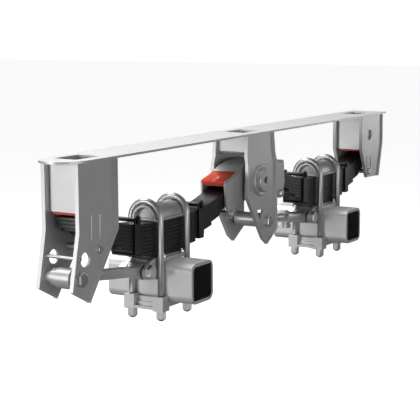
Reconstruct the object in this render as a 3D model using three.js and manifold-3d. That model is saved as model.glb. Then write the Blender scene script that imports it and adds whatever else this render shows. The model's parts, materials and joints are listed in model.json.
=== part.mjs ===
// Two-axle leaf spring suspension for one side of a trailer or caravan chassis.
// Millimetres, +X towards the rear of the vehicle, +Z up.  The origin lies on the upper face
// of the top plate, midway between the two axles and on the centre plane of the springs.
import * as THREE from "three";
import { mergeVertices } from "three/addons/utils/BufferGeometryUtils.js";
import Module from "manifold-3d";

const wasm = await Module();
wasm.setup();

// ---- Driving dimensions ----
const GAP = 0.3; // clearance kept between pieces that touch
const ARC_STEPS = 3; // points on each quarter or half turn of a drawn outline
const THROUGH = 200; // half length of a tool that cuts right through the part
const HALF_SPACING = 655; // half the distance between the axles
const REAR_LIFT = 20.5; // the rear axle hangs this much higher than the front one

const PLATE = { thick: 8, halfWidth: 91.5, tail: 1232, noseStart: -1188, nose: -1306 };
const WINDOW = { length: 132, width: 92, centres: [-1146, -36, 1086] };
const SHEET = 8; // hanger side plates
const LIP = { reach: 7, thick: 7 }; // flanges turned outward on the hanger side plates
const PORT = { radius: 25, front: [-1205, -331], rear: [1086, -102] }; // round holes in the side plates

const LEAF = { width: 90, pitch: 13, step: 56,
  halfLengths: [530, 526, 520, 511, 486, 368, 306, 250, 186, 140],
  hangerReach: [30, 31, 33, 24] }; // the upper leaves run on this far at the hanger's end
const LEAF_CURVE = { flat: 104, radius: 860, bendEnd: 400, tip: 530, tipSlope: 0.05 };
const CLIP = { x: 215, half: 17, thick: 6, leaves: 8, boltRise: 16 };
const PACK_TOP = -270; // upper face of the main leaf over the front axle
const PACK_HEIGHT = LEAF.pitch * LEAF.halfLengths.length;

const TUBE = { side: 150, corner: 30, wall: 12, near: -185, far: 180, top: -418.6,
  recess: 6, plug: 8, drain: 5 };
const UBOLT = { rod: 12, legX: 89, legY: 62.5, archZ: -262, end: -629 };
const CLAMP = { top: -543, bottom: -597, boss: 45 };
const NUT = { across: 34, height: 38 };

const PIVOT = { x: -20, z: -198, radius: 47.5, halfLength: 104, socket: 12.5, socketDeep: 30 };
const COLLAR = { radius: 62, proud: 5 }; // raised ring round the pivot on each centre plate
const ARM_SLOT = [[-52, -318], [-4, -318], [-28, -366]]; // three-cornered hole under the pivot
const HUB = { radius: 66, bush: 57, shaftRoom: 2.5 };
const ROCKER = { inner: 49, sheet: 8, tilt: -4.3, camX: 199, camRadius: 150, padZ: 10.5, padHalf: 48,
  roof: [[247, 40], [196, 48], [150, 60], [104, 74], [56, 82]] }; // from each end towards the middle
const KEEPER = { radius: 8, sleeve: 11.5, head: 26 };
const TIE_ROD = { radius: 6, x: -1243, z: -322 };

const EAR = { x: 209, z: -95, radius: 22 }; // ends of the rocker's cheeks, with the keeper bolts
const HANGER_CAM = { radius: 900, contact: 505, gap: 2.1, sheet: 8 };
const FRONT_ARM = { hangerX: -1235, hangerZ: -392, eye: 36, eyeNear: -46, eyeFar: 14, axleEye: 30,
  tall: 34, webNear: -28, webFar: 12, sleeve: 20, collar: 30, collarThick: 22 };
const REAR_ARM = { hangerX: 34, hangerZ: -372, eye: 29.5, rod: 17.5, socket: 23.5, axleEye: 30 };
const AXLE_EYE = { x: -145, z: -445 }; // from the axle line, at the front axle's height
const ARM_BOLT = { radius: 14, across: 46 };
const EARS = { inner: 36.5, outer: 50.5 }; // the seat's ears, either side of the torque arm's eye
const AXLE_EYE_HALF = 28;
const EYE_WALL = { hanger: 8, axle: 7 }; // steel round the rubber in the arms' eyes
const SOCKET = { reach: 184, overlap: 95, slotHalf: 2 }; // how far the rear arm's socket covers its rod
const SPLIT_CLAMP = { wall: 6, half: 17, lug: 15, lugEnd: -46, split: 2.5, bolt: 4.5, boltX: 9, boltZ: -37 };
const SADDLE = { half: 102, radius: 50, arch: 41, archRise: 2, endDeep: 28, coreHalf: 60, foot: 57,
  footTall: 7, slotHalf: 19, slotWide: 9 };
const SEAT = { half: 102, width: 48, cheekHalf: 74, cheek: 66, step: 4, eye: 28, hollow: 46 };

const FRONT_HANGER = {
  x0: -1245, x1: -1022, inner: 61.5,
  outline: [[-1245, -PLATE.thick], [-1245, -236], [-1286, -427], [-1189, -478], [-1022, -252],
    [-1022, -PLATE.thick]],
  lips: [[0, 1, 2], [3, 4, 5]],
  keeper: [-1128, -306],
};
const REAR_HANGER = {
  x0: 984, x1: 1229, inner: 61.5,
  outline: [[984, -PLATE.thick], [984, -162], [1046, -304], [1186, -309], [1229, -150],
    [1229, -PLATE.thick]],
  lips: [[0, 1, 2], [3, 4, 5]],
  keeper: [1074, -277],
};
const CENTRE_HANGER = {
  x0: -130, x1: 90, inner: 66.5, step: 5.5, stepTop: -92, stepBottom: -128,
  outline: [[-130, -PLATE.thick], [-138, -128], [-142, -258], [-14, -441], [24, -467], [112, -414],
    [106, -128], [90, -PLATE.thick]],
};

const STEEL = 0xb9bbbd;
const BRIGHT = 0xd2d4d6;
const BLACK = 0x17191b;
const RED = 0xc8321f;
const RUBBER = 0x202020;

const part = new THREE.Group();

// ---- Solids and placing ----
function solid(geometry) {
  const bare = geometry.clone();
  bare.deleteAttribute("normal");
  if (bare.attributes.uv) bare.deleteAttribute("uv");
  const merged = mergeVertices(bare, 1e-4);
  return new wasm.Manifold(new wasm.Mesh({
    numProp: 3,
    vertProperties: new Float32Array(merged.attributes.position.array),
    triVerts: new Uint32Array(merged.index.array),
  }));
}

function geometryOf(manifold) {
  const mesh = manifold.getMesh();
  const geometry = new THREE.BufferGeometry();
  geometry.setAttribute("position", new THREE.BufferAttribute(new Float32Array(mesh.vertProperties), 3));
  geometry.setIndex(new THREE.BufferAttribute(new Uint32Array(mesh.triVerts), 1));
  geometry.computeVertexNormals();
  return geometry;
}

function join(first, ...rest) {
  return geometryOf(rest.reduce((sum, next) => sum.add(solid(next)), solid(first)));
}

function cut(body, ...tools) {
  return geometryOf(tools.reduce((left, tool) => left.subtract(solid(tool)), solid(body)));
}

function common(first, second) {
  return geometryOf(solid(first).intersect(solid(second)));
}

function add(name, geometry, color, roughness = 0.45, metalness = 0.4) {
  geometry.computeVertexNormals();
  const mesh = new THREE.Mesh(geometry, new THREE.MeshStandardMaterial({ color, roughness, metalness }));
  mesh.name = name;
  part.add(mesh);
}

function outlineShape(points) {
  return new THREE.Shape(points.map(([a, b]) => new THREE.Vector2(a, b)));
}

// A ring of points with neighbours closer than a hundredth of a millimetre dropped.
function distinct(points) {
  const before = (i) => points[(i + points.length - 1) % points.length];
  return points.filter((point, i) => point.distanceTo(before(i)) > 0.01);
}

function extrude(shape, depth) {
  const { shape: ring, holes } = shape.extractPoints(ARC_STEPS);
  const clean = new THREE.Shape(distinct(ring));
  clean.holes = holes.map((hole) => new THREE.Path(distinct(hole)));
  return new THREE.ExtrudeGeometry(clean, { depth, bevelEnabled: false });
}

// A shape drawn in X and Z, standing between two Y values.
function slab(shape, yLow, yHigh) {
  return extrude(shape, yHigh - yLow).rotateX(Math.PI / 2).translate(0, yHigh, 0);
}

// A shape drawn in X and Y, lying between two Z values.
function sheet(shape, zLow, zHigh) {
  return extrude(shape, zHigh - zLow).translate(0, 0, zLow);
}

// A shape drawn in Y and Z, running between two X values.
function bar(shape, xLow, xHigh) {
  const turn = new THREE.Matrix4().makeBasis(
    new THREE.Vector3(0, 1, 0), new THREE.Vector3(0, 0, 1), new THREE.Vector3(1, 0, 0));
  return extrude(shape, xHigh - xLow).applyMatrix4(turn).translate(xLow, 0, 0);
}

function box(x0, x1, y0, y1, z0, z1) {
  return new THREE.BoxGeometry(x1 - x0, y1 - y0, z1 - z0)
    .translate((x0 + x1) / 2, (y0 + y1) / 2, (z0 + z1) / 2);
}

// Round bar along Y.  Every round section on one axis uses the same side count, so faces run parallel.
function pinY(radius, y0, y1, x, z, sides = 20) {
  return new THREE.CylinderGeometry(radius, radius, y1 - y0, sides).translate(x, (y0 + y1) / 2, z);
}

function pinZ(radius, z0, z1, x, y, sides = 12) {
  return new THREE.CylinderGeometry(radius, radius, z1 - z0, sides).rotateX(Math.PI / 2)
    .translate(x, y, (z0 + z1) / 2);
}

// Round bar between two points of one X-Z plane.
function rodXZ(radius, from, to, sides = 16) {
  const length = Math.hypot(to[0] - from[0], to[1] - from[1]);
  return new THREE.CylinderGeometry(radius, radius, length, sides)
    .rotateZ(Math.PI / 2)
    .rotateY(-Math.atan2(to[1] - from[1], to[0] - from[0]))
    .translate((from[0] + to[0]) / 2, 0, (from[1] + to[1]) / 2);
}

function tubeY(outer, inner, y0, y1, x, z, sides = 20) {
  return cut(pinY(outer, y0, y1, x, z, sides), pinY(inner, y0 - 5, y1 + 5, x, z, sides));
}

// Vertex radius of a faceted bore whose flats clear a round pin by a running gap.
function runningBore(radius, sides = 20) {
  return (radius + GAP) / Math.cos(Math.PI / sides);
}

function hexY(across, y0, y1, x, z) {
  return pinY(across / Math.sqrt(3), y0, y1, x, z, 6);
}

function roundedSquare(side, corner) {
  const half = side / 2;
  const shape = new THREE.Shape();
  shape.moveTo(-half + corner, -half);
  shape.lineTo(half - corner, -half);
  shape.absarc(half - corner, -half + corner, corner, -Math.PI / 2, 0, false);
  shape.lineTo(half, half - corner);
  shape.absarc(half - corner, half - corner, corner, 0, Math.PI / 2, false);
  shape.lineTo(-half + corner, half);
  shape.absarc(-half + corner, half - corner, corner, Math.PI / 2, Math.PI, false);
  shape.lineTo(-half, -half + corner);
  shape.absarc(-half + corner, -half + corner, corner, Math.PI, Math.PI * 1.5, false);
  return shape;
}

// A bolt along Y with a hexagon head at its low end and a nut at its high end.
function boltY(radius, across, y0, y1, x, z, sides = 16) {
  const head = radius * 1.25;
  return join(pinY(radius, y0 - head / 2, y1 + head + 4, x, z, sides),
    hexY(across, y0 - head, y0, x, z), hexY(across, y1, y1 + head, x, z));
}

// ---- The spring curve ----
// Height of a leaf above its clamped middle, at a distance from the axle line.
function leafRise(distance) {
  const { flat, radius, bendEnd, tip, tipSlope } = LEAF_CURVE;
  const d = Math.abs(distance);
  if (d <= flat) return 0;
  if (d <= bendEnd) return (d - flat) ** 2 / (2 * radius);
  const slope = (bendEnd - flat) / radius;
  const ease = (slope - tipSlope) / (tip - bendEnd);
  const past = d - bendEnd;
  return (bendEnd - flat) ** 2 / (2 * radius) + slope * past - ease * past * past / 2;
}

function leafSlope(distance) {
  const step = 0.5;
  return (leafRise(distance + step) - leafRise(distance - step)) / (2 * step);
}

function marksBetween(from, to) {
  const steps = Math.max(1, Math.round(Math.abs(to - from) / LEAF.step));
  return Array.from({ length: steps + 1 }, (_, i) => from + (to - from) * i / steps);
}

// How far a leaf reaches to one side; the upper ones run further on towards their hanger.
function leafReach(index, side, towards) {
  return LEAF.halfLengths[index] + (side === towards ? LEAF.hangerReach[index] ?? 0 : 0);
}

// A line along a leaf, a given drop below the main leaf's upper face, from one tip to the other.
function leafLine(index, towards, drop) {
  const half = (side) => marksBetween(LEAF_CURVE.flat, leafReach(index, side, towards))
    .map((d) => [side * d, leafRise(d) - drop]);
  return [...half(-1).reverse(), ...half(1)];
}

function mainLeafOutline(towards) {
  return [...leafLine(0, towards, LEAF.pitch - GAP), ...leafLine(0, towards, 0).reverse()];
}

// The leaves under the main leaf, drawn as one stepped pack.
function packOutline(towards) {
  const last = LEAF.halfLengths.length - 1;
  const steps = (side) => {
    const points = [];
    for (let i = 1; i <= last; i += 1) {
      const inner = i < last ? leafReach(i + 1, side, towards) : LEAF_CURVE.flat;
      for (const d of marksBetween(leafReach(i, side, towards), inner)) {
        points.push([side * d, leafRise(d) - (i + 1) * LEAF.pitch]);
      }
    }
    return points;
  };
  return [...steps(-1), ...steps(1).reverse(), ...leafLine(1, towards, LEAF.pitch).reverse()];
}

// Underside arc of a wear pad that touches a leaf at a contact distance from the axle.
function padArc(centreX, centreZ, radius, x0, x1, steps = 12) {
  const points = [];
  for (let i = 0; i <= steps; i += 1) {
    const x = x0 + (x1 - x0) * i / steps;
    points.push([x, centreZ - Math.sqrt(radius ** 2 - (x - centreX) ** 2)]);
  }
  return points;
}

// ---- Top plate ----
function buildTopPlate() {
  const shape = new THREE.Shape();
  shape.moveTo(PLATE.noseStart, -PLATE.halfWidth);
  shape.lineTo(PLATE.tail, -PLATE.halfWidth);
  shape.lineTo(PLATE.tail, PLATE.halfWidth);
  shape.lineTo(PLATE.noseStart, PLATE.halfWidth);
  shape.absellipse(PLATE.noseStart, 0, PLATE.noseStart - PLATE.nose, PLATE.halfWidth,
    Math.PI / 2, Math.PI * 1.5, false);
  const windows = WINDOW.centres.map((centre) => box(centre - WINDOW.length / 2, centre + WINDOW.length / 2,
    -WINDOW.width / 2, WINDOW.width / 2, -PLATE.thick - 1, 1));
  add("top_plate", cut(sheet(shape, -PLATE.thick, 0), ...windows), STEEL);
}

// ---- Hangers ----
// A flange that follows part of a side plate's edge, drawn as a band of constant thickness.
function lipBand(points, thick, inward) {
  const inner = points.map(([x, z]) => [x + inward * thick, z]);
  return outlineShape([...points, ...inner.reverse()]);
}

function hangerPlate(hanger, side, holes) {
  const low = side < 0 ? -hanger.inner - SHEET : hanger.inner;
  const outer = hanger.inner + SHEET + LIP.reach;
  const outline = hanger.outline.map(([x, z]) => [x, z === -PLATE.thick ? z - GAP : z]);
  let body = solid(slab(outlineShape(outline), low, low + SHEET));
  for (const edge of hanger.lips) {
    const points = edge.map((i) => outline[i]);
    const inward = points[0][0] < (hanger.x0 + hanger.x1) / 2 && edge[0] === 0 ? 1 : -1;
    const [y0, y1] = side < 0 ? [-outer, -hanger.inner] : [hanger.inner, outer];
    body = body.add(solid(slab(lipBand(points, LIP.thick, inward), y0, y1)));
  }
  for (const hole of holes) body = body.subtract(solid(hole));
  return geometryOf(body);
}

// Channel closed over the spring end: an open-topped box whose floor carries the wear pad.
function hangerBox(x0, x1, half, arc, floor) {
  const wall = SHEET;
  const top = -PLATE.thick - GAP;
  const rise = arc.map(([x, z]) => [x, z + floor + GAP]);
  const outer = outlineShape([[x0, top], ...rise, [x1, top]]);
  const clamped = (x) => THREE.MathUtils.clamp(x, x0 + wall, x1 - wall);
  const innerTop = arc.map(([x, z]) => [clamped(x), z + floor + GAP + wall]);
  const inner = outlineShape([[x0 + wall, top + 1], ...innerTop, [x1 - wall, top + 1]]);
  return cut(slab(outer, -half, half), slab(inner, -half + wall, half - wall));
}

function wearPad(arc, thick, half) {
  const upper = arc.map(([x, z]) => [x, z + thick]).reverse();
  return slab(outlineShape([...arc, ...upper]), -half, half);
}

function springCam(axleX, lift, towards) {
  const d = HANGER_CAM.contact;
  const slope = leafSlope(d);
  const norm = Math.hypot(1, slope);
  const reach = HANGER_CAM.radius + HANGER_CAM.gap;
  return {
    x: axleX + towards * (d - reach * slope / norm),
    z: PACK_TOP + lift + leafRise(d) + reach / norm,
  };
}

function buildEndHanger(prefix, hanger, axleX, lift, towards, extraHoles) {
  const [kx, kz] = hanger.keeper;
  const bore = pinY(KEEPER.radius + GAP, -THROUGH, THROUGH, kx, kz, 16);
  for (const side of [-1, 1]) {
    const label = side < 0 ? "near" : "far";
    add(`${prefix}_hanger_${label}_plate`, hangerPlate(hanger, side, [bore, ...extraHoles]), STEEL);
  }
  const cam = springCam(axleX, lift, towards);
  const x0 = hanger.x0 + 20;
  const x1 = hanger.x1 - 18;
  const arc = padArc(cam.x, cam.z, HANGER_CAM.radius, x0, x1);
  add(`${prefix}_hanger_box`, hangerBox(x0, x1, hanger.inner - GAP, arc, HANGER_CAM.sheet), STEEL);
  add(`${prefix}_hanger_wear_pad`, wearPad(arc, HANGER_CAM.sheet, LEAF.width / 2), RED, 0.5, 0.2);
}

function buildHangers() {
  const frontArmBore = pinY(ARM_BOLT.radius + GAP, -THROUGH, THROUGH, FRONT_ARM.hangerX, FRONT_ARM.hangerZ);
  const port = ([x, z]) => pinY(PORT.radius, -THROUGH, THROUGH, x, z);
  const tieBore = pinY(TIE_ROD.radius + GAP, -THROUGH, THROUGH, TIE_ROD.x, TIE_ROD.z, 12);
  buildEndHanger("front", FRONT_HANGER, -HALF_SPACING, 0, -1, [frontArmBore, port(PORT.front), tieBore]);
  buildEndHanger("rear", REAR_HANGER, HALF_SPACING, REAR_LIFT, 1, [port(PORT.rear)]);
  buildCentreHanger();

  const span = FRONT_HANGER.inner + SHEET + GAP;
  for (const [prefix, hanger] of [["front", FRONT_HANGER], ["rear", REAR_HANGER]]) {
    const [x, z] = hanger.keeper;
    const sleeve = pinY(KEEPER.sleeve, -hanger.inner + 1, hanger.inner - 1, x, z, 16);
    add(`${prefix}_keeper_bolt`, join(boltY(KEEPER.radius, KEEPER.head, -span, span, x, z), sleeve),
      BRIGHT, 0.35, 0.7);
  }
  const { x: tieX, z: tieZ, radius: tieRadius } = TIE_ROD;
  add("front_hanger_tie_rod", boltY(tieRadius, tieRadius * 3, -span, span, tieX, tieZ, 12),
    BRIGHT, 0.35, 0.7);

  const centreSpan = CENTRE_HANGER.inner + CENTRE_HANGER.step + SHEET + GAP;
  add("front_arm_hanger_bolt", boltY(ARM_BOLT.radius, ARM_BOLT.across, -span, span,
    FRONT_ARM.hangerX, FRONT_ARM.hangerZ), BRIGHT, 0.35, 0.7);
  add("rear_arm_hanger_bolt", boltY(ARM_BOLT.radius, ARM_BOLT.across, -centreSpan, centreSpan,
    REAR_ARM.hangerX, REAR_ARM.hangerZ), BRIGHT, 0.35, 0.7);
}

// The centre side plates step outward below the chassis, which makes room for the rocker.
function centrePlate(side) {
  const { inner, step, stepTop, stepBottom, outline } = CENTRE_HANGER;
  const section = [[inner, -PLATE.thick - GAP], [inner, stepTop], [inner + step, stepBottom],
    [inner + step, -500], [inner + step + SHEET, -500], [inner + step + SHEET, stepBottom],
    [inner + SHEET, stepTop], [inner + SHEET, -PLATE.thick - GAP]].map(([y, z]) => [side * y, z]);
  if (side < 0) section.reverse();
  const outerLine = outline.map(([x, z]) => [x, z === -PLATE.thick ? z - GAP : z]);
  const profile = slab(outlineShape(outerLine), -120, 120);
  let body = solid(common(bar(outlineShape(section), -160, 130), profile));
  const lipSection = section.map(([y, z]) => {
    const outward = Math.abs(y) > inner + step + 1 || (Math.abs(y) > inner + 1 && z > stepBottom - 1
      && Math.abs(y) !== inner + step);
    return [outward ? y + side * LIP.reach : y, z];
  });
  const lipBody = bar(outlineShape(lipSection), -160, 130);
  const lower = outerLine.slice(0, 5);
  const upper = outerLine.slice(4);
  for (const [points, inward] of [[lower, 1], [upper, -1]]) {
    const band = slab(lipBand(points, LIP.thick, inward), -120, 120);
    body = body.add(solid(common(lipBody, band)));
  }
  const face = side * (inner + step + SHEET);
  const ring = [face - side, face + side * COLLAR.proud].sort((a, b) => a - b);
  body = body.add(solid(pinY(COLLAR.radius, ...ring, PIVOT.x, PIVOT.z)));
  for (const hole of [
    pinY(PIVOT.radius + GAP, -THROUGH, THROUGH, PIVOT.x, PIVOT.z),
    pinY(ARM_BOLT.radius + GAP, -THROUGH, THROUGH, REAR_ARM.hangerX, REAR_ARM.hangerZ),
    slab(outlineShape(ARM_SLOT), -THROUGH, THROUGH),
  ]) body = body.subtract(solid(hole));
  return geometryOf(body);
}

function buildCentreHanger() {
  add("centre_hanger_near_plate", centrePlate(-1), STEEL);
  add("centre_hanger_far_plate", centrePlate(1), STEEL);
  const x0 = CENTRE_HANGER.x0 + 18;
  const x1 = CENTRE_HANGER.x1 - 18;
  const floor = [[x0, -78], [x0 + 14, -90], [x0 + 40, -96], [x1 - 40, -96], [x1 - 14, -90], [x1, -78]];
  add("centre_hanger_box", hangerBox(x0, x1, CENTRE_HANGER.inner - GAP, floor, 0), STEEL);
  const shaft = pinY(PIVOT.radius, -PIVOT.halfLength, PIVOT.halfLength, PIVOT.x, PIVOT.z);
  const reach = PIVOT.socketDeep;
  const socket = (end) => pinY(PIVOT.socket, end - reach, end + reach, PIVOT.x, PIVOT.z, 16);
  add("pivot_shaft", cut(shaft, socket(-PIVOT.halfLength), socket(PIVOT.halfLength)), BRIGHT, 0.3, 0.8);
}

// ---- Equalizer: the rocker that shares load between the two springs ----
const rockerPlace = new THREE.Matrix4()
  .makeTranslation(PIVOT.x, 0, PIVOT.z)
  .multiply(new THREE.Matrix4().makeRotationY(THREE.MathUtils.degToRad(ROCKER.tilt)));

function rockerRoof() {
  return [...ROCKER.roof.map(([x, z]) => [-x, z]), ...ROCKER.roof.slice().reverse()];
}

function rockerSide(low) {
  const roof = rockerRoof().map(([x, z]) => [x, z - SHEET - GAP]);
  const ear = [];
  for (let i = 0; i <= 6; i += 1) {
    const angle = Math.PI * i / 6;
    ear.push([EAR.x + EAR.radius * Math.cos(angle), EAR.z - EAR.radius * Math.sin(angle)]);
  }
  const right = [[ROCKER.roof[0][0], -52], ...ear, [166, -70], [92, -66]];
  const left = right.slice().reverse().map(([x, z]) => [-x, z]);
  const shape = outlineShape([...roof, ...right, ...left]);
  const holes = [pinY(PIVOT.radius + HUB.shaftRoom, -THROUGH, THROUGH, 0, 0),
    ...[-EAR.x, EAR.x].map((x) => pinY(KEEPER.radius + GAP, -THROUGH, THROUGH, x, EAR.z, 16))];
  return cut(slab(shape, low, low + ROCKER.sheet), ...holes);
}

function buildEqualizer() {
  const place = (geometry) => geometry.applyMatrix4(rockerPlace);
  const outer = ROCKER.inner + ROCKER.sheet;
  add("equalizer_near_side", place(rockerSide(-outer)), STEEL);
  add("equalizer_far_side", place(rockerSide(ROCKER.inner)), STEEL);
  const roof = rockerRoof();
  const under = roof.slice().reverse().map(([x, z]) => [x, z - SHEET]);
  add("equalizer_cover", place(slab(outlineShape([...roof, ...under]), -outer, outer)), STEEL);
  const room = ROCKER.inner - GAP;
  add("equalizer_hub", place(tubeY(HUB.radius, HUB.bush + GAP, -room, room, 0, 0)), STEEL);
  add("equalizer_bush", place(tubeY(HUB.bush, runningBore(PIVOT.radius), -room, room, 0, 0)), RUBBER, 0.9, 0);
  for (const [name, side] of [["front", -1], ["rear", 1]]) {
    const middle = side * ROCKER.camX;
    const [x0, x1] = [middle - ROCKER.padHalf, middle + ROCKER.padHalf];
    const arc = padArc(middle, ROCKER.padZ + ROCKER.camRadius, ROCKER.camRadius, x0, x1, 14);
    const back = roof.filter(([x]) => x > x0 && x < x1).map(([x]) => x);
    const roofAt = (x) => {
      const i = roof.findIndex(([rx]) => rx >= x);
      const [a, b] = [roof[Math.max(i - 1, 0)], roof[Math.max(i, 1)]];
      return a[1] + (b[1] - a[1]) * (x - a[0]) / (b[0] - a[0]) - SHEET - GAP;
    };
    const top = [x0, ...back, x1].map((x) => [x, roofAt(x)]).reverse();
    add(`equalizer_${name}_pad`, place(slab(outlineShape([...arc, ...top]), -room, room)), RED, 0.5, 0.2);
  }
  for (const [name, x] of [["front", -EAR.x], ["rear", EAR.x]]) {
    add(`equalizer_${name}_keeper_bolt`, place(boltY(KEEPER.radius, KEEPER.head, -outer - GAP, outer + GAP,
      x, EAR.z)), BRIGHT, 0.35, 0.7);
  }
}

// ---- Torque arms ----
function buildFrontArm() {
  const hanger = [FRONT_ARM.hangerX, FRONT_ARM.hangerZ];
  const axle = [AXLE_EYE.x - HALF_SPACING, AXLE_EYE.z];
  const angle = Math.atan2(axle[1] - hanger[1], axle[0] - hanger[0]);
  const length = Math.hypot(axle[0] - hanger[0], axle[1] - hanger[1]);
  const web = box(0, length, FRONT_ARM.webNear, FRONT_ARM.webFar, -FRONT_ARM.tall / 2, FRONT_ARM.tall / 2)
    .rotateY(-angle).translate(hanger[0], 0, hanger[1]);
  const eyes = [pinY(FRONT_ARM.eye, FRONT_ARM.eyeNear, FRONT_ARM.eyeFar, ...hanger),
    pinY(FRONT_ARM.axleEye, -AXLE_EYE_HALF, AXLE_EYE_HALF, ...axle)];
  const bores = [pinY(FRONT_ARM.eye - EYE_WALL.hanger, -80, 80, ...hanger),
    pinY(FRONT_ARM.axleEye - EYE_WALL.axle, -80, 80, ...axle)];
  add("front_torque_arm", cut(join(web, ...eyes), ...bores), STEEL);
  const sleeveEnd = FRONT_HANGER.inner - GAP;
  const rubber = FRONT_ARM.eye - EYE_WALL.hanger - GAP;
  const collarEnd = FRONT_ARM.eyeFar + FRONT_ARM.collarThick;
  const bush = join(pinY(rubber, FRONT_ARM.eyeNear - 6, FRONT_ARM.eyeFar + 6, ...hanger),
    pinY(FRONT_ARM.sleeve, -sleeveEnd, sleeveEnd, ...hanger),
    pinY(FRONT_ARM.collar, FRONT_ARM.eyeFar + GAP, collarEnd, ...hanger));
  add("front_torque_arm_front_bush", cut(bush, pinY(runningBore(ARM_BOLT.radius), -90, 90, ...hanger)),
    RUBBER, 0.9, 0);
  add("front_torque_arm_rear_bush", axleBush(FRONT_ARM.axleEye, axle), RUBBER, 0.9, 0);
}

// The rubber in an arm's axle eye, which fills the space between the seat's ears.
function axleBush(eye, [x, z]) {
  const half = EARS.inner - GAP;
  return tubeY(eye - EYE_WALL.axle - GAP, runningBore(ARM_BOLT.radius), -half, half, x, z);
}

function buildRearArm() {
  const hanger = [REAR_ARM.hangerX, REAR_ARM.hangerZ];
  const axle = [AXLE_EYE.x + HALF_SPACING, AXLE_EYE.z + REAR_LIFT];
  const length = Math.hypot(axle[0] - hanger[0], axle[1] - hanger[1]);
  const at = (distance) => [hanger[0] + (axle[0] - hanger[0]) * distance / length,
    hanger[1] + (axle[1] - hanger[1]) * distance / length];
  const rubber = REAR_ARM.eye - EYE_WALL.hanger;
  const eyeHalf = CENTRE_HANGER.inner - 4.5;
  add("rear_torque_arm_rod", cut(join(rodXZ(REAR_ARM.rod, at(10), at(length - SOCKET.overlap)),
    pinY(REAR_ARM.eye, -eyeHalf, eyeHalf, ...hanger)), pinY(rubber, -90, 90, ...hanger)), STEEL);
  const bushHalf = CENTRE_HANGER.inner + 1.5;
  add("rear_torque_arm_front_bush",
    tubeY(rubber - GAP, runningBore(ARM_BOLT.radius), -bushHalf, bushHalf, ...hanger), RUBBER, 0.9, 0);

  const mouth = length - SOCKET.reach;
  const socket = join(rodXZ(REAR_ARM.socket, at(mouth), at(length - 12)),
    pinY(REAR_ARM.axleEye, -AXLE_EYE_HALF, AXLE_EYE_HALF, ...axle));
  const lean = Math.atan2(hanger[1] - axle[1], axle[0] - hanger[0]);
  const slot = box(-40, 30, -SOCKET.slotHalf, SOCKET.slotHalf, -45, 0).rotateY(lean)
    .translate(at(mouth)[0], 0, at(mouth)[1]);
  add("rear_torque_arm_socket", cut(socket, rodXZ(REAR_ARM.rod + GAP, at(mouth - 10), at(length - 80)),
    pinY(REAR_ARM.axleEye - EYE_WALL.axle, -80, 80, ...axle), slot), STEEL);
  add("rear_torque_arm_rear_bush", axleBush(REAR_ARM.axleEye, axle), RUBBER, 0.9, 0);

  // Split clamp round the mouth of the socket, with two lugs and two bolts below it.
  const clampAt = (geometry) => geometry.rotateY(lean).translate(at(mouth + 20)[0], 0, at(mouth + 20)[1]);
  const { wall, half, lug, lugEnd, bolt, boltX, boltZ } = SPLIT_CLAMP;
  const ring = rodXZ(REAR_ARM.socket + wall, [-half, 0], [half, 0], 20);
  const lugs = box(-half, half, -lug, lug, lugEnd, -half + 1);
  const split = box(-2 * half, 2 * half, -SPLIT_CLAMP.split, SPLIT_CLAMP.split, -60, 0);
  const ringBore = rodXZ(REAR_ARM.socket + GAP, [-40, 0], [40, 0], 20);
  const bolts = [-boltX, boltX].map((x) => boltY(bolt, lug, -lug, lug, x, boltZ, 12));
  const band = cut(join(ring, lugs), ringBore, split);
  add("rear_torque_arm_clamp", clampAt(join(band, ...bolts)), STEEL);
}

// ---- One axle with its spring and clamp ----
function buildSpring(prefix, x, lift, towards) {
  const half = LEAF.width / 2;
  const bore = pinZ(7, PACK_TOP - PACK_HEIGHT - 20, PACK_TOP + 20, 0, 0);
  const placed = (geometry) => geometry.translate(x, 0, lift);
  const leaf = (outline) => {
    const body = slab(outlineShape(outline), -half, half).translate(0, 0, PACK_TOP);
    return placed(cut(body, bore));
  };
  add(`${prefix}_main_leaf`, leaf(mainLeafOutline(towards)), BLACK, 0.35, 0.2);
  add(`${prefix}_leaf_stack`, leaf(packOutline(towards)), BLACK, 0.35, 0.2);
  const bottom = PACK_TOP - PACK_HEIGHT;
  const [shank, head, nut] = [6, 12, 11];
  add(`${prefix}_centre_bolt`, placed(join(pinZ(shank, bottom - 10, PACK_TOP + shank, 0, 0),
    pinZ(head, PACK_TOP + GAP, PACK_TOP + 10, 0, 0), pinZ(nut, bottom - 12, bottom - GAP, 0, 0))),
  BLACK, 0.5, 0.5);
  add(`${prefix}_spring_front_clip`, placed(springClip(-CLIP.x)), BLACK, 0.4, 0.3);
  add(`${prefix}_spring_rear_clip`, placed(springClip(CLIP.x)), BLACK, 0.4, 0.3);
}

// A strap folded up round the leaves, closed above the main leaf by a bolt in a spacer sleeve.
function springClip(x) {
  const inner = LEAF.width / 2 + 1;
  const outer = inner + CLIP.thick;
  const under = PACK_TOP - CLIP.leaves * LEAF.pitch + leafRise(Math.abs(x) - CLIP.half) - GAP;
  const boltZ = PACK_TOP + leafRise(x) + CLIP.boltRise;
  const strap = new THREE.Shape();
  strap.moveTo(-CLIP.half, under - CLIP.thick);
  strap.lineTo(CLIP.half, under - CLIP.thick);
  strap.lineTo(CLIP.half, boltZ);
  strap.absarc(0, boltZ, CLIP.half, 0, Math.PI, false);
  strap.closePath();
  const hollow = box(x - 40, x + 40, -inner, inner, under, boltZ + 40);
  const band = cut(slab(strap, -outer, outer).translate(x, 0, 0), hollow);
  const sleeve = pinY(8, -inner - 1, inner + 1, x, boltZ, 12);
  return join(band, boltY(5, 16, -outer, outer, x, boltZ, 12), sleeve);
}

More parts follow.
